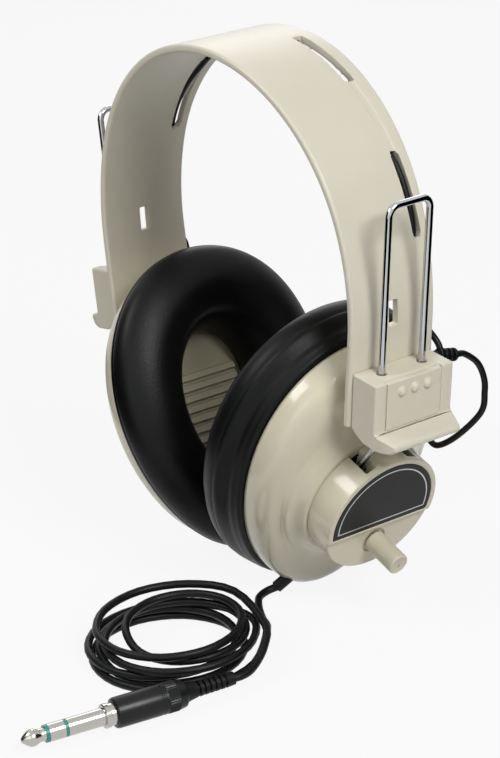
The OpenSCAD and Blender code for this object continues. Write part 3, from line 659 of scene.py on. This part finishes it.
def strap_line(angles):
    """Middle surface of the strap in the XZ plane and its outward normal, by the angle from the
    crown in degrees: x = x0 + r sin a, z = z0 + r cos a on each arc. Past the side bend the line
    runs straight, one millimetre for each unit."""
    a = np.abs(np.asarray(angles, float))
    t = np.radians(np.clip(a, 0, SIDE_TURN))
    crown = a <= CROWN_TURN
    x = np.where(crown, CROWN_R * np.sin(t), SIDE_X + SIDE_R * np.sin(t))
    z = np.where(crown, CROWN_Z + CROWN_R * np.cos(t), SIDE_Z + SIDE_R * np.cos(t))
    past = np.clip(a - SIDE_TURN, 0, None)
    x, z = x + past * np.cos(t), z - past * np.sin(t)
    sign = np.where(np.asarray(angles) < 0, -1.0, 1.0)
    return np.stack([sign * x, z], -1), np.stack([sign * np.sin(t), np.cos(t)], -1)


def half_width(x):
    """Half the strap's width at a distance x from the middle: half the crown's, less x * x over
    the taper."""
    return CROWN_WIDTH / 2 - x * x / TAPER


def strap_rings(angles, section):
    """Places a section, rows of (y, height over the middle surface), at every angle: the middle
    line plus height times the normal."""
    line, normal = strap_line(angles)
    y, h = section[..., 0], section[..., 1]
    return np.stack([line[:, :1] + h * normal[:, :1], np.broadcast_to(y, h.shape),
                     line[:, 1:] + h * normal[:, 1:]], -1)


print("strap ends at", strap_line([END_RUN])[0][0].round(1))

# %% [markdown]
# The section is a rounded rectangle. A groove for the link cable runs inside the right half and
# outside the end of the left half, and a shallow crease marks the groove on the outside. The
# groove's depth is a function of the angle, so one grid holds it all.

# %% The strap's section
GROOVE_Y, GROOVE_W, GROOVE_DEPTH, CREASE_DEPTH, ROUND = 13.6, 2.8, 1.3, 0.25, 1.15


def between(first, last):
    """One from the first angle to the last, with a slope of one degree inside each end."""
    return (np.clip(run - first, 0, 1) * np.clip(last - run, 0, 1))[:, None]


half_run = np.concatenate([np.arange(0, 96, 1.5), np.linspace(96, END_RUN, 9)])
run = np.concatenate([-half_run[:0:-1], half_run])
wide = half_width(strap_line(run)[0][:, 0])[:, None]
corner = np.radians(np.linspace(0, 90, 6))
flat = np.ones_like(wide)
top, low = THICK / 2, -THICK / 2
near, far = GROOVE_Y - GROOVE_W / 2, GROOVE_Y + GROOVE_W / 2
inside = low + GROOVE_DEPTH * between(-38.5, 95.5)
outside = top - GROOVE_DEPTH * between(-95.5, -68.5) - CREASE_DEPTH * between(30, 91)
y = np.hstack([wide - ROUND + ROUND * np.cos(corner), flat * far, flat * far, flat * near,
               flat * near, wide * 0.33, -wide * 0.33, -wide + ROUND - ROUND * np.sin(corner),
               -wide + ROUND - ROUND * np.cos(corner), -wide * 0.33, wide * 0.2,
               flat * near, flat * near, flat * far, flat * far,
               wide - ROUND + ROUND * np.sin(corner)])
h = np.hstack([flat * (top - ROUND + ROUND * np.sin(corner)), flat * top, outside, outside,
               flat * top, flat * top, flat * top, flat * (top - ROUND + ROUND * np.cos(corner)),
               flat * (low + ROUND - ROUND * np.sin(corner)), flat * low, flat * low,
               flat * low, inside, inside, flat * low,
               flat * (low + ROUND - ROUND * np.cos(corner))])
rings = strap_rings(run, np.stack([y, h], -1))
print("strap grid:", rings.shape)

# %% [markdown]
# ### Openings in the strap
# Three slots let the link cable pass from one face to the other, and a small window above each
# slider shows the wire's setting. A grid with holes would be hard to draw, so blocks that follow
# the strap are cut out by Boolean modifiers, and every edge is rounded afterwards.

# %% Openings
REACH = 5.0


def rounded_slot(start, end, half):
    """Angles along a slot and its half width there: w = half sin t over the last half (1 - cos t)
    millimetres at each end, and straight between."""
    t = np.radians(np.linspace(20, 90, 6))
    cap = np.degrees(half / CROWN_R) * (1 - np.cos(t))
    plain = np.linspace(start + cap[-1], end - cap[-1], int(end - start))[1:-1]
    return (np.concatenate([start + cap, plain, end - cap[::-1]]),
            half * np.concatenate([np.sin(t), np.ones(len(plain)), np.sin(t[::-1])]))


def cutter(name, angles, half, middle):
    """A block that follows the strap, to cut an opening through it: at every angle a rectangle
    from middle - half to middle + half, and from REACH below the strap to REACH above."""
    y = middle + np.broadcast_to(half, len(angles))[:, None] * np.array([-1, 1, 1, -1])
    h = np.broadcast_to(REACH * np.array([-1, -1, 1, 1]), y.shape)
    points = strap_rings(angles, np.stack([y, h], -1))
    mesh = bpy.data.meshes.new(name)
    mesh.from_pydata((points.reshape(-1, 3) * MM).tolist(), [], capped(len(angles), 4))
    work = bmesh.new()
    work.from_mesh(mesh)
    bmesh.ops.recalc_face_normals(work, faces=work.faces)
    work.to_mesh(mesh)
    work.free()
    thing = bpy.data.objects.new(name, mesh)
    bpy.context.scene.collection.objects.link(thing)
    return thing


strap = piece("strap", rings, capped(len(run), rings.shape[1]), None, BEIGE_SATIN,
              ["headband"])
openings = [(np.arange(8, 32.1), 2.2, GROOVE_Y),
            (*rounded_slot(55.5, 77.5, 1.85), GROOVE_Y + 0.3),
            (*rounded_slot(-69.5, -37.5, 2.2), GROOVE_Y)]
openings += [(sign * np.linspace(89.13, 94.87, 3), 2.0, 0.0) for sign in (1, -1)]
cuts = [cutter("opening", *opening) for opening in openings]
for thing in cuts:
    cut = strap.modifiers.new("cut", "BOOLEAN")
    cut.object = thing
    cut.solver = "EXACT"
baked(strap)
for thing in cuts:
    bpy.data.objects.remove(thing)
soften(strap, 0.3, 2, 50)
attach(strap, "headband")
print("strap faces", len(strap.data.polygons))

# %% [markdown]
# ## The wire yokes
# Each yoke is one chromed wire: two pins that carry the cup, two shanks, two legs and a loop. On
# the bench it is bent round formers, so the path is a line with arcs at its corners. The legs are
# parallel, because they slide through the housing.

# %% The wire's path
WIRE_R, LEG_Y, WIRE_X, PIN = 1.3, 9.3, 7.0, 5.5

bend_at = in_end([[WIRE_X, LEG_Y, -39.0]])[0]
pivot_at = in_cup([[-9.0, LEG_Y, 18.5]])[0]
top_at = in_end([[WIRE_X, LEG_Y, 51.0]])[0]
half = [pivot_at - [0, PIN, 0], pivot_at, bend_at, top_at]
wire_line = np.array(half + [p * [1, -1, 1] for p in half[::-1]])
wire_path = rounded_path(wire_line, [2, 4, 4, 4, 4, 2], 12)

print("wire length %.0f mm" % np.linalg.norm(np.diff(wire_path, axis=0), axis=1).sum())

# %% [markdown]
# ## Housings and covers
# The housings keep their CAD shape and take rounded edges. The cover is a plain lid that snaps in,
# drawn as a box so that its edge shows as a thin shadow line. Its three grip bumps are low turned
# domes, each with a small fillet at its foot.

# %% Housings, covers and yokes
FACE, LID, DOME_PITCH, DOME_Z = 14.5, 2.2, 5.9, -17.0
lid_box = np.array([[x, y, z] for z in (-31.0, -12.6) for x, y in (
    (FACE - LID, -12.5), (FACE, -12.5), (FACE, 12.5), (FACE - LID, 12.5))])

dome = [(0, 2.2), (0.3, 2.15), (0.42, 1.95), (0.6, 1.82), (0.9, 1.7), (1.25, 1.4), (1.52, 0.95),
        (1.66, 0.5), (1.7, 0.1)]

for side, sign in SIDES.items():
    moulding(side + "_housing", side + "_slider_housing", 0.9, BEIGE_SATIN)
    lid = piece(side + "_slider_cover", side_of(in_end(lid_box), sign), capped(2, 4), "headband",
                BEIGE_SATIN, [side + "_cover"])
    soften(lid, 0.45)
    for i in (-1, 0, 1):
        foot = np.array([FACE - 0.3, i * DOME_PITCH, DOME_Z])
        points, faces = turned(foot, foot + [1.3, 0, 0], dome, 32)
        piece(side + "_grip_dome_%d" % (i + 2), side_of(in_end(points), sign), faces, "headband",
              BEIGE_SATIN, [side + "_cover"], sharp=60)
    rings, faces = tube(wire_path, WIRE_R, 20)
    piece(side + "_wire", side_of(rings, sign), faces, side + "_yoke", CHROME,
          [side + "_yoke"], sharp=50)

print("cover %.1f mm thick, wire %.1f mm" % (LID, 2 * WIRE_R))

# %% [markdown]
# ## The ear cups
# A shell is an egg at its rim and a circle at its boss. Scaling a sphere gives neither, so rays go
# out from the cup's axis and each ring is a distance along every ray. The rim's egg is
# y = a cos t (1 + 0.1 sin t), w = b sin t, and an egg that is smaller all round by d is met at a
# distance found by halving an interval.

# %% Egg rings
EGG = 0.1
RIM, PAD, EAR = (40.0, 55.0, 2.0), (40.0, 53.0, 3.0), (16.8, 28.0, 2.0)


def egg_ring(d, rays, egg=RIM):
    """Distance r from the axis to the egg grown by d, along rays at angles t. An egg is half a
    width a, half a height b and the place m of its middle over the axis. With
    s = (r sin t - m) / (b + d), a point is inside while
    |r cos t| <= (a + d) sqrt(1 - s * s) (1 + 0.1 s)."""
    half_w, half_h, middle = egg
    low, high = np.zeros_like(rays), np.full_like(rays, 90.0)
    for _ in range(40):
        r = (low + high) / 2
        s = (r * np.sin(rays) - middle) / (half_h + d)
        inside = np.abs(s) <= 1
        s = np.clip(s, -1, 1)
        inside &= np.abs(r * np.cos(rays)) <= (half_w + d) * np.sqrt(1 - s * s) * (1 + EGG * s)
        low, high = np.where(inside, r, low), np.where(inside, high, r)
    return low


RAYS = np.linspace(0, 2 * np.pi, 144, endpoint=False)


def cup_rings(rows):
    """Points from rows of (u, distance r from the axis at each ray t): y = r cos t, w = r sin t."""
    return np.array([in_cup(np.stack([np.full_like(RAYS, u), r * np.cos(RAYS), r * np.sin(RAYS)],
                                     -1)) for u, r in rows])


print("rim %.0f mm wide" % (2 * egg_ring(0, np.zeros(1))[0]))

# %% [markdown]
# The shell's profile is read from the photograph: a straight wall, a shoulder, a shallow dome that
# turns from egg to circle, and a cove up to the round boss. It then turns inside and comes back to
# the rim, so that the wall is closed.

# %% The shell's profile
COVE_R = 31.2
side_rows = [(-33.0, -0.5), (-32.7, -0.1), (-31.5, 0.0), (-28.0, -0.2), (-25.0, -0.6),
             (-23.2, -1.5), (-21.8, -2.9), (-20.6, -4.8), (-19.8, -7.0)]
rows = [(u, egg_ring(d, RAYS)) for u, d in side_rows]
edge = rows[-1][1]
for share in (0.18, 0.36, 0.54, 0.72, 0.86, 0.95):
    rows.append((side_rows[-1][0] + 1.3 * math.sin(share * math.pi / 2) + 0.9 * share ** 8,
                 edge + (COVE_R - edge) * share))
rows += [(u, np.full_like(RAYS, r)) for u, r in [
    (-17.5, 30.2), (-16.9, 29.3), (-16.2, 28.5), (-15.4, 27.8), (-14.4, 27.1), (-13.5, 26.5),
    (-13.1, 26.1), (-13.0, 25.6), (-13.02, 22.6), (-20.4, 22.6)]]
inner = [(-20.6, -11.5), (-22.0, -7.5), (-26.0, -3.2), (-32.6, -2.5), (-33.0, -2.3)]
rows += [(u, egg_ring(d, RAYS)) for u, d in inner]
shell_rings = cup_rings(rows)

print("shell rings:", shell_rings.shape)

# %% [markdown]
# ### Knob and louvres
# The knob is a plain turned peg below the cup's axis, with a small bar on its end as its mark. The
# louvres in front of the loudspeaker are ten sloped blades: a saw line in u and w, drawn out along
# y, which is how such a grille is cut in the mould.

# %% Knob and louvres
KNOB_W, PITCH, BLADES, BLADE_END = -13.6, 4.2, 10, 15.5

knob_points, knob_faces = turned([-1, 0, KNOB_W], [0, 0, KNOB_W], [
    (0, 3.4), (0, 4.0), (0.2, 4.2), (14.3, 4.2), (14.65, 4.13), (14.9, 3.9), (15, 3.5),
    (14.88, 3.3), (14.88, 0.05)], 48)
mark_outline = ((-0.35, -14.6), (0.35, -14.6), (0.35, -13.0), (-0.35, -13.0))
mark = np.array([[[u, y, w] for y, w in mark_outline] for u in (13.8, 14.0)])

blade_line = [(-33.05, -27.0)]
for i in range(BLADES):
    w = -26.0 + i * PITCH
    blade_line += [(-33.2, w), (-35.3, w + 0.5), (-34.6, w + 2.7), (-33.2, w + 3.0)]
blade_line += [(-33.2, 16.6), (-33.05, 16.6)]
blades = np.array([in_cup([[u, y, w] for u, w in blade_line]) for y in (-BLADE_END, BLADE_END)])

print("blade line points:", len(blade_line))

# %% [markdown]
# ### The cups put together
# A cup is assembled from the inside: baffle and louvres, then the shell, the cap over the pivot
# and the knob on its spindle. The knob turns, so it rides on a body of its own, and the rest ride
# on the cup. The cap and the baffle keep their CAD shape and only take rounded edges.

# %% The cups' pieces
for side, sign in SIDES.items():
    piece(side + "_cup_shell", side_of(shell_rings, sign), quads(len(rows), len(RAYS), True),
          side + "_cup", BEIGE_GLOSS, [side + "_shell"], sharp=60)
    moulding(side + "_cap", side + "_pivot_cap", 0.5, BEIGE_GLOSS)
    spindle = frame["nodes"][side + "_knob"]["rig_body"]
    piece(side + "_volume_knob", side_of(in_cup(knob_points), sign), knob_faces, spindle,
          BEIGE_KNOB, [side + "_knob"], sharp=40)
    # The mark takes the darker beige of painted shade.
    piece(side + "_knob_mark", side_of(in_cup(mark), sign), capped(2, 4), spindle,
          BEIGE_PAINTED_SHADE, [side + "_knob"])
    # Baffle and louvres take the darker beige, painted shade for their place inside the cushion.
    moulding(side + "_baffle", side + "_speaker_baffle", 0.35, BEIGE_PAINTED_SHADE)
    piece(side + "_louvres", side_of(blades, sign), capped(2, len(blade_line)), side + "_cup",
          BEIGE_PAINTED_SHADE, [side + "_baffle"], sharp=40)

print("knob rides on", spindle)

# %% [markdown]
# ## The cushions
# Each cushion is a vinyl ring over foam: a skirt that clips over the rim, a seam, and a pad that
# falls into the ear opening. Drawn as a plain torus it looks hard. So its section is drawn with
# numpy from the photograph, and the ring is then blown up a little as cloth, held at rim, seam and
# inner edge, which gives the stretched look of skin over foam.

# %% The cushion's section
section = [(RIM, -33.02, 0.6), (RIM, -33.3, 1.7), (RIM, -34.2, 2.2), (RIM, -35.4, 2.4),
           (RIM, -36.6, 3.3), (RIM, -38.0, 3.2), (RIM, -39.2, 4.0), (PAD, -41.4, 6.4),
           (PAD, -43.0, 7.2), (PAD, -43.6, 6.6), (PAD, -44.2, 7.2), (PAD, -46.0, 7.5),
           (PAD, -48.5, 7.4), (PAD, -50.8, 6.4), (PAD, -52.8, 3.9), (PAD, -54.4, 0.2),
           (PAD, -55.6, -3.2), (PAD, -56.4, -6.2), (PAD, -56.7, -8.8), (EAR, -56.2, 8.4),
           (EAR, -54.4, 6.8), (EAR, -51.5, 4.8), (EAR, -48.0, 3.0), (EAR, -44.5, 1.5),
           (EAR, -41.0, 0.6), (EAR, -37.5, 0.2), (EAR, -33.05, 0.4)]
rows = [(u, egg_ring(d, RAYS, egg)) for egg, u, d in section]
rows.append((-33.03, (egg_ring(-1.0, RAYS) + egg_ring(1.0, RAYS, EAR)) / 2))
pad_rings = cup_rings(rows)
HELD = [0, 1, 2, 3, 5, 8, 9, 10, 24, 25, 26, 27]

print("cushion %.0f mm deep" % (section[0][1] - min(row[1] for row in section)))

# %% [markdown]
# Cloth in Blender is tuned for garments, so the ring is made ten times as big for the run and
# brought back after it. Twenty frames are enough for the pressure to settle, and no point may move
# by more than 1.6 mm, so the cushion keeps its measured size.

# %% Blowing the cushion up
BIGGER, FRAMES, MOST = 10, 20, 1.6


def blown(points, faces, held):
    """Runs the ring as cloth under a little pressure, with the held rows pinned. A point then goes
    to p + move * min(1, MOST / length of move)."""
    mesh = bpy.data.meshes.new("cushion_cloth")
    mesh.from_pydata((points.reshape(-1, 3) * MM * BIGGER).tolist(), [], faces)
    work = bmesh.new()
    work.from_mesh(mesh)
    bmesh.ops.recalc_face_normals(work, faces=work.faces)
    work.to_mesh(mesh)
    work.free()
    thing = bpy.data.objects.new("cushion_cloth", mesh)
    bpy.context.scene.collection.objects.link(thing)
    pins = thing.vertex_groups.new(name="pins")
    columns = points.shape[1]
    pinned = np.array(held)[:, None] * columns + np.arange(columns)
    pins.add(pinned.ravel().tolist(), 1.0, "REPLACE")
    cloth = thing.modifiers.new("cloth", "CLOTH")
    cloth.settings.vertex_group_mass = "pins"
    cloth.settings.use_pressure = True
    cloth.settings.uniform_pressure_force = 4.0
    cloth.settings.shrink_min = 0.0
    cloth.settings.tension_stiffness = 12
    cloth.settings.compression_stiffness = 12
    cloth.settings.bending_stiffness = 2.0
    cloth.settings.effector_weights.gravity = 0.0
    cloth.point_cache.frame_start, cloth.point_cache.frame_end = 1, FRAMES
    for number in range(1, FRAMES + 1):
        bpy.context.scene.frame_set(number)
    ready = bpy.data.meshes.new_from_object(
        thing.evaluated_get(bpy.context.evaluated_depsgraph_get()))
    result = np.empty(points.size, np.float32)
    ready.vertices.foreach_get("co", result)
    result = result.astype(float).reshape(points.shape) / MM / BIGGER
    bpy.data.objects.remove(thing)
    bpy.context.scene.frame_set(1)
    move = result - points
    length = np.linalg.norm(move, axis=-1, keepdims=True)
    return points + move * np.minimum(1, MOST / np.maximum(length, 1e-9))


HALF_GAP = 0.35
pad_faces = quads(len(rows), len(RAYS), True)
pad_rings = blown(pad_rings, pad_faces, HELD)
# The two cushions lean together at the bottom, so each is kept on its own side of the middle.
pad_rings[..., 0] = np.maximum(pad_rings[..., 0], HALF_GAP)
for side, sign in SIDES.items():
    pad = piece(side + "_ear_cushion", side_of(pad_rings, sign), pad_faces, side + "_cup",
                PAD_VINYL, [side + "_cushion"], subdivide=1)

print("cushion reaches x = %.2f mm" % pad_rings[..., 0].min())

# %% [markdown]
# ## The link cable
# A thin cable joins the two cups. It lies in the strap's groove, drops round the rear edge of each
# strap end, enters a ribbed strain relief on the housing and hangs in a loop to the cup. The run
# along the strap is a function of the angle: it dips below the long slot, stands up in the slot
# above the right yoke, and crosses from the inside to the outside through the far slot.

# %% The cable along the strap
LINK_R = 1.2
LONG_SLOT_DIP, SLOT_RISE, SLOT_SHIFT = 3, 1.3, 0.6
angles = np.arange(-90, 91, 2.0)
dip = np.where((angles > 4) & (angles < 36),
               LONG_SLOT_DIP * np.sin(np.radians((angles - 4) * 180 / 32)) ** 2, 0)
share = np.clip((angles + 67) / 27, 0, 1)
swell = np.clip(1 - np.abs((angles - 66.5) / 11.5) ** 4, 0, 1)
height = THICK / 2 - THICK * share * share * (3 - 2 * share) - dip + SLOT_RISE * swell
line, normal = strap_line(angles)
band_path = np.stack([line[:, 0] + height * normal[:, 0], GROOVE_Y + SLOT_SHIFT * swell,
                      line[:, 1] + height * normal[:, 1]], -1)
rings, faces = tube(band_path, LINK_R)
piece("strap_cable", rings, faces, "headband", CORD_PVC, ["band_cable"], sharp=50)
print("cable along the strap: %.0f mm" % np.linalg.norm(np.diff(band_path, axis=0), axis=1).sum())

# %% [markdown]
# ### Drops, strain reliefs and loops
# The ends of the cable are drawn from the photograph as a few points each, and a smooth curve goes
# through them. The left side is the mirror image, but there the drop starts on the outside of the
# strap. The relief's ribs are a profile of four raised rings.

# %% Paths of the drops and loops
corner_at = np.array([END_X, half_width(END_X) + 1, END_Z])
cup_at = np.array([CUP_X, 0.0, CUP_Z])
relief_from = np.array([END_X + 2.07, 17.6, END_Z - 14.2])
relief_to = relief_from + [0, 11.4, -2.6]
grommet_from, grommet_to = cup_at + [-14.4, 32, 19.3], cup_at + [-11.6, 32, 18.3]
relief_way = (relief_to - relief_from) / np.linalg.norm(relief_to - relief_from)
grommet_way = (grommet_to - grommet_from) / np.linalg.norm(grommet_to - grommet_from)
loop_middle = corner_at + [2.3, 22.2, -35]
drop_from = np.array([SIDE_X + SIDE_R - THICK / 2, GROOVE_Y, SIDE_Z])
drop_path = smooth_path([drop_from, drop_from - [0.2, 0, 4], drop_from - [1.6, -1, 9],
                         corner_at + [-2.7, -1.5, -4.7], corner_at + [-1.5, 1.2, -8.7],
                         corner_at + [0.7, 1.8, -11.7], corner_at + [2.07, 1.6, -14.6]], 8)
loop_path = smooth_path([relief_to + 0.1 * relief_way, relief_to + 4 * relief_way,
                         corner_at + [2.2, 18.8, -22.6], corner_at + [2.3, 21.8, -29], loop_middle,
                         corner_at + [1, 21.4, -43.4], cup_at + [1.7, 35.4, 21.6],
                         grommet_to + 6 * grommet_way, grommet_to + 0.1 * grommet_way], 12)
SPLIT, TIED = 48, 6
RIB_PITCH = 2.3
ribs = [(0, 1.7), (1.6, 1.8)]
for i in range(4):
    x = 2.4 + i * RIB_PITCH
    ribs += [(x, 1.75), (x + 0.12, 2.35), (x + 0.35, 2.5), (x + 1.1, 2.5), (x + 1.35, 2.35),
             (x + 1.45, 1.75)]
ribs += [(11.5, 1.7), (11.69, 1.5)]
far_from = drop_from + [THICK, 0, 0]
far_drop = smooth_path([far_from, far_from + [0.5, 0.3, -5], corner_at + [3.1, -3.4, -2],
                        corner_at + [2.9, 0.8, -8], corner_at + [2.5, 1.8, -11.6],
                        corner_at + [2.07, 1.6, -14.6]], 8)

print("free loop %.0f mm" % np.linalg.norm(np.diff(loop_path, axis=0), axis=1).sum())

# %% [markdown]
# The loop is made in two lengths, because two joints move its ends: the upper length runs
# between headband and yoke, where the yoke slides, and the lower one between yoke and cup,
# where the cup tilts. Neither length is put on a body.

# %% Pieces of the drops and loops
for side, sign in SIDES.items():
    rings, faces = tube(drop_path if sign > 0 else far_drop, LINK_R)
    piece(side + "_cable_drop", side_of(rings, sign), faces, "headband", CORD_PVC,
          [side + "_drop"], sharp=50)
    rings, faces = turned(relief_from, relief_to, ribs, 28)
    piece(side + "_ribbed_relief", side_of(rings, sign), faces, "headband",
          GRIP_RUBBER, [side + "_strain_relief"], sharp=35)
    rings, faces = tube(loop_path[:SPLIT + 1], LINK_R)
    upper = piece(side + "_cable_upper", side_of(rings, sign), faces, None,
                  CORD_PVC, [side + "_loop_upper"], sharp=50)
    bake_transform(upper)
    rings, faces = tube(loop_path[SPLIT:], LINK_R)
    lower = piece(side + "_cable_lower", side_of(rings, sign), faces, None,
                  CORD_PVC, [side + "_loop_lower"], sharp=50)
    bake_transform(lower)

# %% [markdown]
# ## Pieces that keep their CAD shape
# The plate, its silver line, the grommets and what is hidden inside are flat or round already, so
# a new mesh would add nothing. They only take their finish.

# %% CAD pieces and their finishes
FINISHES = {"plate": PLATE_BLACK, "plate_line": SILVER_INK, "driver": CONE_PAPER, "magnet": STEEL,
            "pot": STEEL, "friction_pad": GRIP_RUBBER, "grommet": GRIP_RUBBER, "gland": GRIP_RUBBER}
finished = 0
for name, node in frame["nodes"].items():
    owner, _, kind = name.partition("_")
    material = FINISHES.get(kind) if owner in (*SIDES, "cord") else None
    if material:
        node.data.materials.clear()
        node.data.materials.append(material)
        finished += 1
print("CAD pieces with a finish:", finished)

# %% [markdown]
# ## Light
# The photograph has soft light from the upper right, a window-like patch on the boss, and a pale
# edge on the black vinyl. Four area lamps do that: a key, a small window from the front left, a
# weak fill beside the camera and one from behind. Their level is set so that a colour renders
# about as it is written.

# %% Lamps
def lamp(name, place, aim, size, power):
    """A rectangular lamp at a place, with its z axis turned from the aim to the lamp."""
    light = bpy.data.lights.new(name, "AREA")
    light.shape = "RECTANGLE"
    light.size, light.size_y = size[0] * MM, size[1] * MM
    light.energy = power
    thing = bpy.data.objects.new(name, light)
    bpy.context.scene.collection.objects.link(thing)
    place, aim = np.array(place, float), np.array(aim, float)
    z = (place - aim) / np.linalg.norm(place - aim)
    x = np.cross([0, 0, 1.0], z)
    x /= np.linalg.norm(x)
    thing.matrix_world = Matrix.Translation(place * MM) @ Matrix(
        [[*row] for row in np.stack([x, np.cross(z, x), z], 1)]).to_4x4()


MIDDLE = [20, -20, 90]
lamp("key", [900, -60, 850], MIDDLE, (450, 450), 9.1)
lamp("window", [-240, -585, 670], MIDDLE, (300, 340), 2.6)
lamp("fill", [500, -1000, 600], MIDDLE, (800, 600), 1.3)
lamp("back", [-750, 600, 600], MIDDLE, (500, 500), 1.8)

print("lamps:", len(bpy.data.lights))

# %% [markdown]
# ## Something for the chrome to mirror
# A chrome wire on a white ground mirrors white and turns into a flat grey line. Product
# photographers lay black cloth just outside the picture: its reflection draws the dark lines that
# make chrome look like chrome. Here the cloth is seen by mirror rays only, so it neither shows nor
# takes light from the ground.

# %% Black cloths
def flag(name, inner, outer, behind, front, height):
    """A black cloth laid beside the picture and hung up a board: three rows of two corners at
    across * level + along * toward + z."""
    toward = np.array([np.sin(AROUND), -np.cos(AROUND), 0.0])
    across, z = np.array([[inner, outer, outer], [0.2, 0.2, height]])[:, :, None, None]
    along = np.array([behind, front])[None, :, None]
    corners = (across * level + along * toward + z * np.array([0, 0, 1.0])).reshape(-1, 3)
    mesh = bpy.data.meshes.new(name)
    mesh.from_pydata((corners * MM).tolist(), [], [(0, 1, 3, 2), (2, 3, 5, 4)])
    cloth = bpy.data.objects.new(name, mesh)
    cloth.visible_camera = cloth.visible_diffuse = cloth.visible_shadow = False
    bpy.context.scene.collection.objects.link(cloth)
    mesh.materials.append(FLAG_CLOTH)


FLAG_CLOTH = finish("black_flag_cloth", Roughness=1.0, Specular_IOR_Level=0.0,
                    Base_Color=linear("#050505"))[0]
flag("left_flag", -150, -460, -350, 460, 430)
flag("right_flag", 170, 460, -350, 460, 430)

print("cloths laid:", FLAG_CLOTH.users)

# %% [markdown]
# ## Ground and sky
# The picture's ground is white paper. Lighting real paper to full white would burn out the beige,
# so most of what camera and mirror rays see of it is an even white of strength one, and the rest
# is the lit paper, which keeps the shadow. Light that bounces off it stays that of plain paper.

# %% Ground
def seen_bright(tree):
    """One for rays from the camera and for mirrored or refracted ones, nought for the rest."""
    rays = add(tree, "ShaderNodeLightPath").outputs
    sharp = add(tree, "ShaderNodeMath", {0: rays["Is Glossy Ray"], 1: rays["Is Transmission Ray"]},
                operation="MAXIMUM")
    return add(tree, "ShaderNodeMath", {0: rays["Is Camera Ray"], 1: sharp.outputs[0]},
               operation="MAXIMUM").outputs[0]


FLOOR, FLOOR_Z, WHITE_SHARE = 6.0, -1e-4, 0.9
floor_mesh = bpy.data.meshes.new("floor")
floor_mesh.from_pydata([(x, y, FLOOR_Z) for x, y in ((-FLOOR, -FLOOR), (FLOOR, -FLOOR),
                                                     (FLOOR, FLOOR), (-FLOOR, FLOOR))],
                       [], [(0, 1, 2, 3)])
floor = bpy.data.objects.new("floor", floor_mesh)
bpy.context.scene.collection.objects.link(floor)
# Paper, pressed smooth: a matt pale grey that drifts over 400 mm.
paper, tree, shader, where = finish("white_paper_sweep", Roughness=0.9)
drift = add(tree, "ShaderNodeTexNoise", {"Vector": where, "Scale": 1000 / 400, "Detail": 2.0})
colour = add(tree, "ShaderNodeMix", {"Factor": drift.outputs["Fac"], 6: linear("#C2C2C2"),
                                     7: linear("#C8C8C8")}, data_type="RGBA")
feed(tree, shader, Base_Color=colour.outputs[2])
share = add(tree, "ShaderNodeMapRange", {"Value": seen_bright(tree), "To Max": WHITE_SHARE})
glow = add(tree, "ShaderNodeEmission", {"Color": linear("#FFFFFF"), "Strength": 1.0})
blank = add(tree, "ShaderNodeMixShader",
            {0: share.outputs["Result"], 1: shader.outputs[0], 2: glow.outputs[0]})
tree.links.new(blank.outputs[0], tree.nodes["Material Output"].inputs["Surface"])
floor_mesh.materials.append(paper)
print("floor %.0f m across" % (2 * FLOOR))

# %% [markdown]
# The world lights softly from above and hardly at all from the horizon, which leaves the inside of
# the strap in shade, as in the photograph. Camera and mirror rays see it in the ground's own white.

# %% Sky
world = bpy.data.worlds.new("studio")
bpy.context.scene.world = world
world.use_nodes = True
tree = world.node_tree
sky = tree.nodes["Background"]
sky.inputs["Color"].default_value = linear("#FFFFFF")
split = add(tree, "ShaderNodeSeparateXYZ",
            {"Vector": add(tree, "ShaderNodeTexCoord").outputs["Generated"]})
rise = add(tree, "ShaderNodeMapRange", {"Value": split.outputs["Z"], "From Min": 0.05,
                                        "From Max": 0.8, "To Min": 0.02, "To Max": 0.18})
tree.links.new(rise.outputs["Result"], sky.inputs["Strength"])
plain = add(tree, "ShaderNodeBackground", {"Color": linear("#F8F8F8"), "Strength": 1.0})
both = add(tree, "ShaderNodeMixShader",
           {0: seen_bright(tree), 1: sky.outputs[0], 2: plain.outputs[0]})
tree.links.new(both.outputs[0], tree.nodes["World Output"].inputs["Surface"])
bpy.context.scene.view_settings.view_transform = "Standard"

print("view transform:", bpy.context.scene.view_settings.view_transform)
